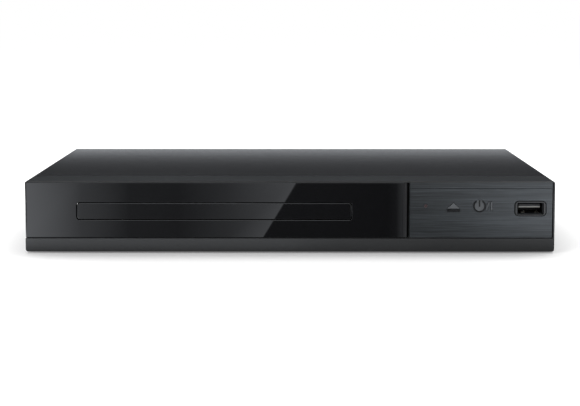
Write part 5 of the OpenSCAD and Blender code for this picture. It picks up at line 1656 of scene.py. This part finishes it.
    def socket_pins(self) -> None:
        """Contacts that show in the mouths of the flat cable sockets."""
        ribbon = span("front_ribbon")
        x, y, z = ribbon[0].x + 0.6, self.main[1] + 2.2, self.top + 3.96
        pin = block("ribbon_pins", (x, y, z), (x + 0.5, y + 2.6, z + 0.12))
        self.add(rows(pin, TIN, 9, (1.3, 0, 0)), "nickel")
        spot = self.on_main(1.2, 15.4, 3.96)
        pin = block("loader_pins", spot, (spot[0] + 2.6, spot[1] + 0.5, spot[2] + 0.12))
        self.add(rows(pin, TIN, 9, (0, 1.55, 0)), "nickel")
        spot = self.on_power(2.6, 31.2 + 12, 5.96)
        pin = block("supply_pins", spot, (spot[0] + 0.8, spot[1] + 0.8, spot[2] + 1.8))
        self.add(rows(pin, TIN, 5, (0, 2.6, 0)), "nickel")

    def power_parts(self) -> None:
        """Core, windings, fuse, film capacitor and switch on the power board."""
        x, y, z = self.on_power(17, 47.5)
        out, inner, foot, head, under = 11.6, 10.1, 1.2, 19.6, 17.05
        yoke = [(y + u, z + v) for u, v in (
            (-out, foot), (-out, head), (out, head), (out, foot),
            (inner, foot), (inner, under), (-inner, under), (-inner, foot))]
        core = rounded(swept("transformer_core", yoke, x - 3.2, x + 3.2), 0.35)
        self.add(core, "ferrite", FERRITE)
        x, y, z = self.on_power(12, 66, 6.0)
        coils = [coil(f"filter_{i}", COPPER_WIRE, 6, 4.0, 3.2, 0.26, (x + s * 6, y, z),
                      squash=(0.66, 1.36, 1)) for i, s in enumerate((-1, 1))]
        self.add(merged("filter_windings", coils), "copper_winding")
        x, y, z = self.on_power(30.6, 36, 3.3)
        tube = lathe("fuse_tube", [(2.3, 0.6), (2.3, 17.4), (1.9, 17.4), (1.9, 0.6)],
                     (x, y, z), "Y", 24)
        self.add(crisp(tube), "lens_glass", FUSE_GLASS)
        cap = lathe("fuse_caps", [(0, 0), (2.3, 0), (2.5, 0.2), (2.5, 4.2), (0, 4.2)],
                    (x, y, z), "Y", 24)
        self.add(rows(crisp(cap), NICKEL, 2, (0, 13.8, 0)), "nickel")
        clip = swept("fuse_clips", [(x - 2.9, self.top), (x - 2.9, z + 1.8), (x - 3.4, z + 3.0),
                                    (x - 3.0, z + 3.1), (x - 2.5, z + 1.8), (x - 2.5, z - 2.5),
                                    (x + 2.5, z - 2.5), (x + 2.5, z + 1.8), (x + 3.0, z + 3.1),
                                    (x + 3.3, z + 3.0), (x + 2.9, z + 1.8), (x + 2.9, self.top)],
                     y + 0.6, y + 3.6, "Y")
        self.add(rows(clip, BRASS, 2, (0, 13.8, 0)), "brass")
        low, high = self.on_power(28.2, 12), self.on_power(33.4, 28, 11)
        film = rounded(block("film_capacitor", low, high), 0.7, 3)
        self.add(film, "component_black", FILM_YELLOW)
        low, high = self.on_power(0.7, 18, 4.5), self.on_power(2.95, 28, 14)
        self.add(rounded(block("switch_transistor", low, high), 0.2), "component_black", CHIP_EPOXY)
        leg = block("transistor_legs", self.on_power(1.6, 20.2), self.on_power(2.1, 20.9, 4.7))
        self.add(rows(leg, TIN, 3, (0, 2.54, 0)), "nickel")

    def jack_inserts(self) -> None:
        """Coloured rings in the mouths of the phono sockets: video, left and right sound."""
        x, y, z = self.jacks
        wall = [(1.65, 0.0), (1.65, 0.25), (1.85, 0.4), (2.8, 0.4), (2.92, 0.3), (2.92, -2.0),
                (1.65, -2.0)]
        for name, finish, i in (("video", YELLOW_PP, -1), ("left_sound", WHITE_PP, 0),
                                ("right_sound", RED_PP, 1)):
            insert = lathe(f"jack_{name}", wall, (x + i * self.jack_pitch, y - 0.1, z), "Y", 32)
            self.add(crisp(insert), "white_plastic", finish)


# ---------------------------------------------------------------- studio


@dataclass
class Studio:
    """Floor, lamps, reflection cards and the camera of a plain product photograph.

    Attributes:
        eye: Place of the camera in millimetres.
        pitch: Angle that it looks down, in degrees.
        yaw: Angle that it looks to the left, in degrees.
        focal: Focal length in picture widths.
        front: Y of the front face in millimetres.
        sensor: Width of the film in millimetres.
        clip: Nearest and farthest distance that the camera draws, in metres.
        daylight: sRGB hex colour of the cards, a little cooler than the lamps.
        tent: Brightness of the even light from all round.
        paper: sRGB hex colour of the floor.
        sheet: Half width, front and rear edge of the floor in metres.
        glow: Light of its own that the paper adds below the object, and well away from it.
        glow_reach: Where that light starts and stops to change, in metres.
        glow_shape: Share of X, Y and Z in the distance that it follows.
        lamps: Name, place, aim, size and power of each soft lamp.
        window_band: Heights of the window on the front face in millimetres.
        window_glare: X at its foot and top, and the brightness there, for each column.
        chin_band: Heights of the chin below the window.
        chin_glare: The same columns for the chin.
        rear_glare: Height in metres and brightness of the card behind the object.
        rear_away: Y of that card, and half its width, in metres.
        edge_glare: Y in metres and brightness of the card overhead.
        edge_up: Height of that card, and half its width, in metres.
    """

    eye: Point = (2.906, -903.87, 124.51)
    pitch: float = 6.977
    yaw: float = 0.199
    focal: float = 1594.87 / 580
    front: float = -97.8
    sensor: float = 36.0
    clip: tuple[float, float] = (0.05, 60)
    daylight: str = "f5f9ff"
    tent: float = 0.42
    paper: str = "dcdcdc"
    sheet: tuple[float, float, float] = (9, -9, 40)
    glow: tuple[float, float] = (0.19, 0.70)
    glow_reach: tuple[float, float] = (0.155, 0.27)
    glow_shape: Point = (1.2, 1.0, 1.0)
    lamps: tuple[tuple[str, Point, Point, tuple[float, float], float], ...] = (
        ("key_softbox", (-0.8, -0.9, 1.0), (0, -0.05, 0.02), (0.8, 0.6), 7.0),
        ("top_softbox", (0.1, 0.45, 1.2), (0, 0, 0), (1.6, 0.7), 15.0))
    window_band: tuple[float, float] = (7.8, 38.0)
    window_glare: tuple[tuple[float, ...], ...] = (
        (-600, -600, 0.05, 0.05), (-139, -139, 0.05, 0.05), (-137, -137, 2.6, 2.5),
        (-106, -106, 0.9, 0.9), (-82, -82, 0.3, 0.3), (-57, -57, 0.25, 0.25),
        (-32, -32, 0.56, 0.56), (-14.2, 4.1, 1.3, 1.5), (-13.6, 4.7, 0.14, 0.14),
        (50, 50, 0.10, 0.10), (54.4, 54.4, 0.16, 0.16), (55.9, 55.9, 0.36, 0.36),
        (57.9, 57.9, 0.6, 0.6), (59.8, 59.8, 0.66, 0.66), (61, 61, 0.0, 0.0),
        (76, 76, 0.0, 0.15), (96, 96, 0.8, 2.1), (136, 136, 3.6, 5.4),
        (200, 200, 5.5, 6.5), (300, 300, 0.4, 0.4))
    chin_band: tuple[float, float] = (0.9, 7.4)
    chin_glare: tuple[tuple[float, ...], ...] = (
        (-600, -600, 0.3, 1.0), (-140, -140, 0.2, 9.0), (-125, -125, 0.0, 5.2),
        (0, 0, 0.0, 4.2), (60, 60, 0.0, 2.0), (140, 140, 0.0, 1.1), (600, 600, 0.0, 0.5))
    rear_glare: tuple[tuple[float, float], ...] = (
        (0.0, 0.12), (0.030, 0.18), (0.038, 0.62), (0.042, 0.58), (0.046, 0.15), (0.051, 0.0),
        (0.060, 0.0), (0.066, 0.05), (0.080, 0.12), (0.14, 0.12), (0.3, 0.02), (1.6, 0.15))
    rear_away: tuple[float, float] = (0.12, 3.0)
    edge_glare: tuple[tuple[float, float], ...] = ((-0.7, 0.6), (-0.5, 4.0), (0.2, 4.0), (0.4, 0.6))
    edge_up: tuple[float, float] = (0.9, 0.9)

    def camera(self) -> None:
        """Set up the camera that stands where the photograph was taken."""
        data = bpy.data.cameras.new("camera")
        data.sensor_fit = "HORIZONTAL"
        data.sensor_width = self.sensor
        data.lens = self.focal * self.sensor
        data.clip_start, data.clip_end = self.clip
        camera = bpy.data.objects.new("camera", data)
        camera.location = metres(self.eye)
        camera.rotation_euler = (math.radians(90 - self.pitch), 0, math.radians(self.yaw))
        bpy.context.scene.collection.objects.link(camera)
        bpy.context.scene.camera = camera

    def seen(self, tree: bpy.types.NodeTree) -> bpy.types.NodeSocket:
        """One for rays from the camera, off gloss or through glass, else zero.

        Args:
            tree: Tree that takes the nodes.

        Returns:
            Output socket.
        """
        path = put(tree, "ShaderNodeLightPath").outputs
        first = put(tree, "ShaderNodeMath", {0: path["Is Camera Ray"], 1: path["Is Glossy Ray"]},
                    operation="MAXIMUM")
        return put(tree, "ShaderNodeMath", {0: first.outputs[0], 1: path["Is Transmission Ray"]},
                   operation="MAXIMUM").outputs[0]

    def world(self) -> None:
        """Light evenly from all round, and show a white backdrop."""
        world = bpy.data.worlds.new("white_tent")
        tree = empty_tree(world)
        strength = put(tree, "ShaderNodeMapRange",
                       {"Value": self.seen(tree), "To Min": self.tent, "To Max": 1.0})
        light = put(tree, "ShaderNodeBackground", {"Color": (1, 1, 1, 1),
                                                   "Strength": strength.outputs[0]})
        put(tree, "ShaderNodeOutputWorld", {"Surface": light.outputs[0]})
        bpy.context.scene.world = world

    def floor(self) -> None:
        """Lay a pale floor that reaches past the horizon and keeps the shadow."""
        half, near, far = self.sheet
        corners = [(-half, near, 0), (half, near, 0), (half, far, 0), (-half, far, 0)]
        obj = mesh_from("floor", corners, [(0, 1, 2, 3)])
        mat = bpy.data.materials.new("white_paper_sweep")
        tree = empty_tree(mat)
        place = put(tree, "ShaderNodeTexCoord").outputs["Object"]
        wide = put(tree, "ShaderNodeVectorMath", {0: place, 1: self.glow_shape},
                   operation="MULTIPLY").outputs["Vector"]
        away = put(tree, "ShaderNodeVectorMath", {0: wide}, operation="LENGTH").outputs["Value"]
        level = put(tree, "ShaderNodeMapRange", {
            "Value": away, "From Min": self.glow_reach[0], "From Max": self.glow_reach[1],
            "To Min": self.glow[0], "To Max": self.glow[1]},
            interpolation_type="SMOOTHSTEP").outputs[0]
        glow = put(tree, "ShaderNodeMath", {0: self.seen(tree), 1: level}, operation="MULTIPLY")
        paper = put(tree, "ShaderNodeBsdfDiffuse", {"Color": linear(self.paper)})
        light = put(tree, "ShaderNodeEmission", {"Strength": glow.outputs[0]})
        both = put(tree, "ShaderNodeAddShader", {0: paper.outputs[0], 1: light.outputs[0]})
        put(tree, "ShaderNodeOutputMaterial", {"Surface": both.outputs[0]})
        obj.data.materials.append(mat)

    def lamp(self, name: str, spot: Point, aim: Point, size: tuple[float, float],
             watts: float) -> None:
        """Hang one soft lamp.

        Args:
            name: Name of the lamp.
            spot: Its place in metres.
            aim: The point that it faces.
            size: Width and height of its face in metres.
            watts: Power.
        """
        data = bpy.data.lights.new(name, "AREA")
        data.shape = "RECTANGLE"
        data.size, data.size_y = size
        data.energy = watts
        obj = bpy.data.objects.new(name, data)
        obj.location = spot
        obj.rotation_euler = (Vector(aim) - Vector(spot)).to_track_quat("-Z", "Y").to_euler()
        obj.visible_glossy = False
        bpy.context.scene.collection.objects.link(obj)

    def mirror_spot(self, x: float, z: float, height: float = 0.6) -> Point:
        """Point just above the floor that the camera sees mirrored in the front face.

        Args:
            x: X on the front face in millimetres.
            z: Height on the front face.
            height: Height of the point.

        Returns:
            The point in metres.
        """
        ex, ey, ez = self.eye
        reach = self.front - ey
        run = (z - height) * reach / (ez - z)
        return metres((x + (x - ex) * run / reach, self.front - run, height))

    def glow_card(self, name: str, pairs: Sequence[tuple[Point, Point, float, float]]) -> None:
        """Set up a light card that only gloss picks up, as a photographer does.

        Args:
            name: Name of the card.
            pairs: Two points in metres and the brightness at each, one pair for each column.
        """
        points = [p for low, high, _, _ in pairs for p in (low, high)]
        faces = [(2 * i, 2 * i + 2, 2 * i + 3, 2 * i + 1) for i in range(len(pairs) - 1)]
        obj = mesh_from(name, points, faces)
        glow = obj.data.attributes.new("glow", "FLOAT", "POINT")
        glow.data.foreach_set("value", [v for _, _, a, b in pairs for v in (a, b)])
        mat = bpy.data.materials.new(name)
        tree = empty_tree(mat)
        level = put(tree, "ShaderNodeAttribute", attribute_name="glow").outputs["Fac"]
        light = put(tree, "ShaderNodeEmission", {"Color": linear(self.daylight), "Strength": level})
        put(tree, "ShaderNodeOutputMaterial", {"Surface": light.outputs[0]})
        obj.data.materials.append(mat)
        obj.visible_camera = obj.visible_diffuse = obj.visible_shadow = False
        obj.visible_transmission = False

    def front_card(self, name: str, band: tuple[float, float],
                   columns: Sequence[Sequence[float]]) -> None:
        """Lay a graded card in front of the object, for one band of the front face to mirror.

        Args:
            name: Name of the card.
            band: Heights of the foot and the top of that band in millimetres.
            columns: X at the foot and at the top of the band, and the brightness at each.
        """
        foot, top = band
        self.glow_card(name, [(self.mirror_spot(x0, foot), self.mirror_spot(x1, top), low, high)
                              for x0, x1, low, high in columns])

    def level_card(self, name: str, half: float,
                   lines: Sequence[tuple[float, float, float]]) -> None:
        """Hang or stand a card that is evenly bright along X.

        Args:
            name: Name of the card.
            half: Half its width in metres.
            lines: Y and Z in metres and the brightness there.
        """
        self.glow_card(name, [((-half, y, z), (half, y, z), level, level)
                              for y, z, level in lines])

    def build(self) -> None:
        """Set up everything round the object."""
        bpy.context.scene.view_settings.view_transform = "Standard"
        self.camera()
        self.world()
        self.floor()
        for lamp in self.lamps:
            self.lamp(*lamp)
        self.front_card("window_card", self.window_band, self.window_glare)
        self.front_card("chin_card", self.chin_band, self.chin_glare)
        away, half = self.rear_away
        self.level_card("rear_card", half, [(away, z, level) for z, level in self.rear_glare])
        height, half = self.edge_up
        self.level_card("edge_card", half, [(y, height, level) for y, level in self.edge_glare])


def main() -> None:
    """Build the studio and the player, and report each piece."""
    logging.basicConfig(level=logging.INFO, format="%(name)s: %(message)s")
    Studio().build()
    groups = (CaseShell(), FrontPanel(), TrayUnit(), Loader(), Traverse(), Electronics())
    count = sum(len(group.build()) for group in groups)
    LOG.info("%d pieces in all", count)
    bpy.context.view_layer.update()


if __name__ == "__main__":
    main()
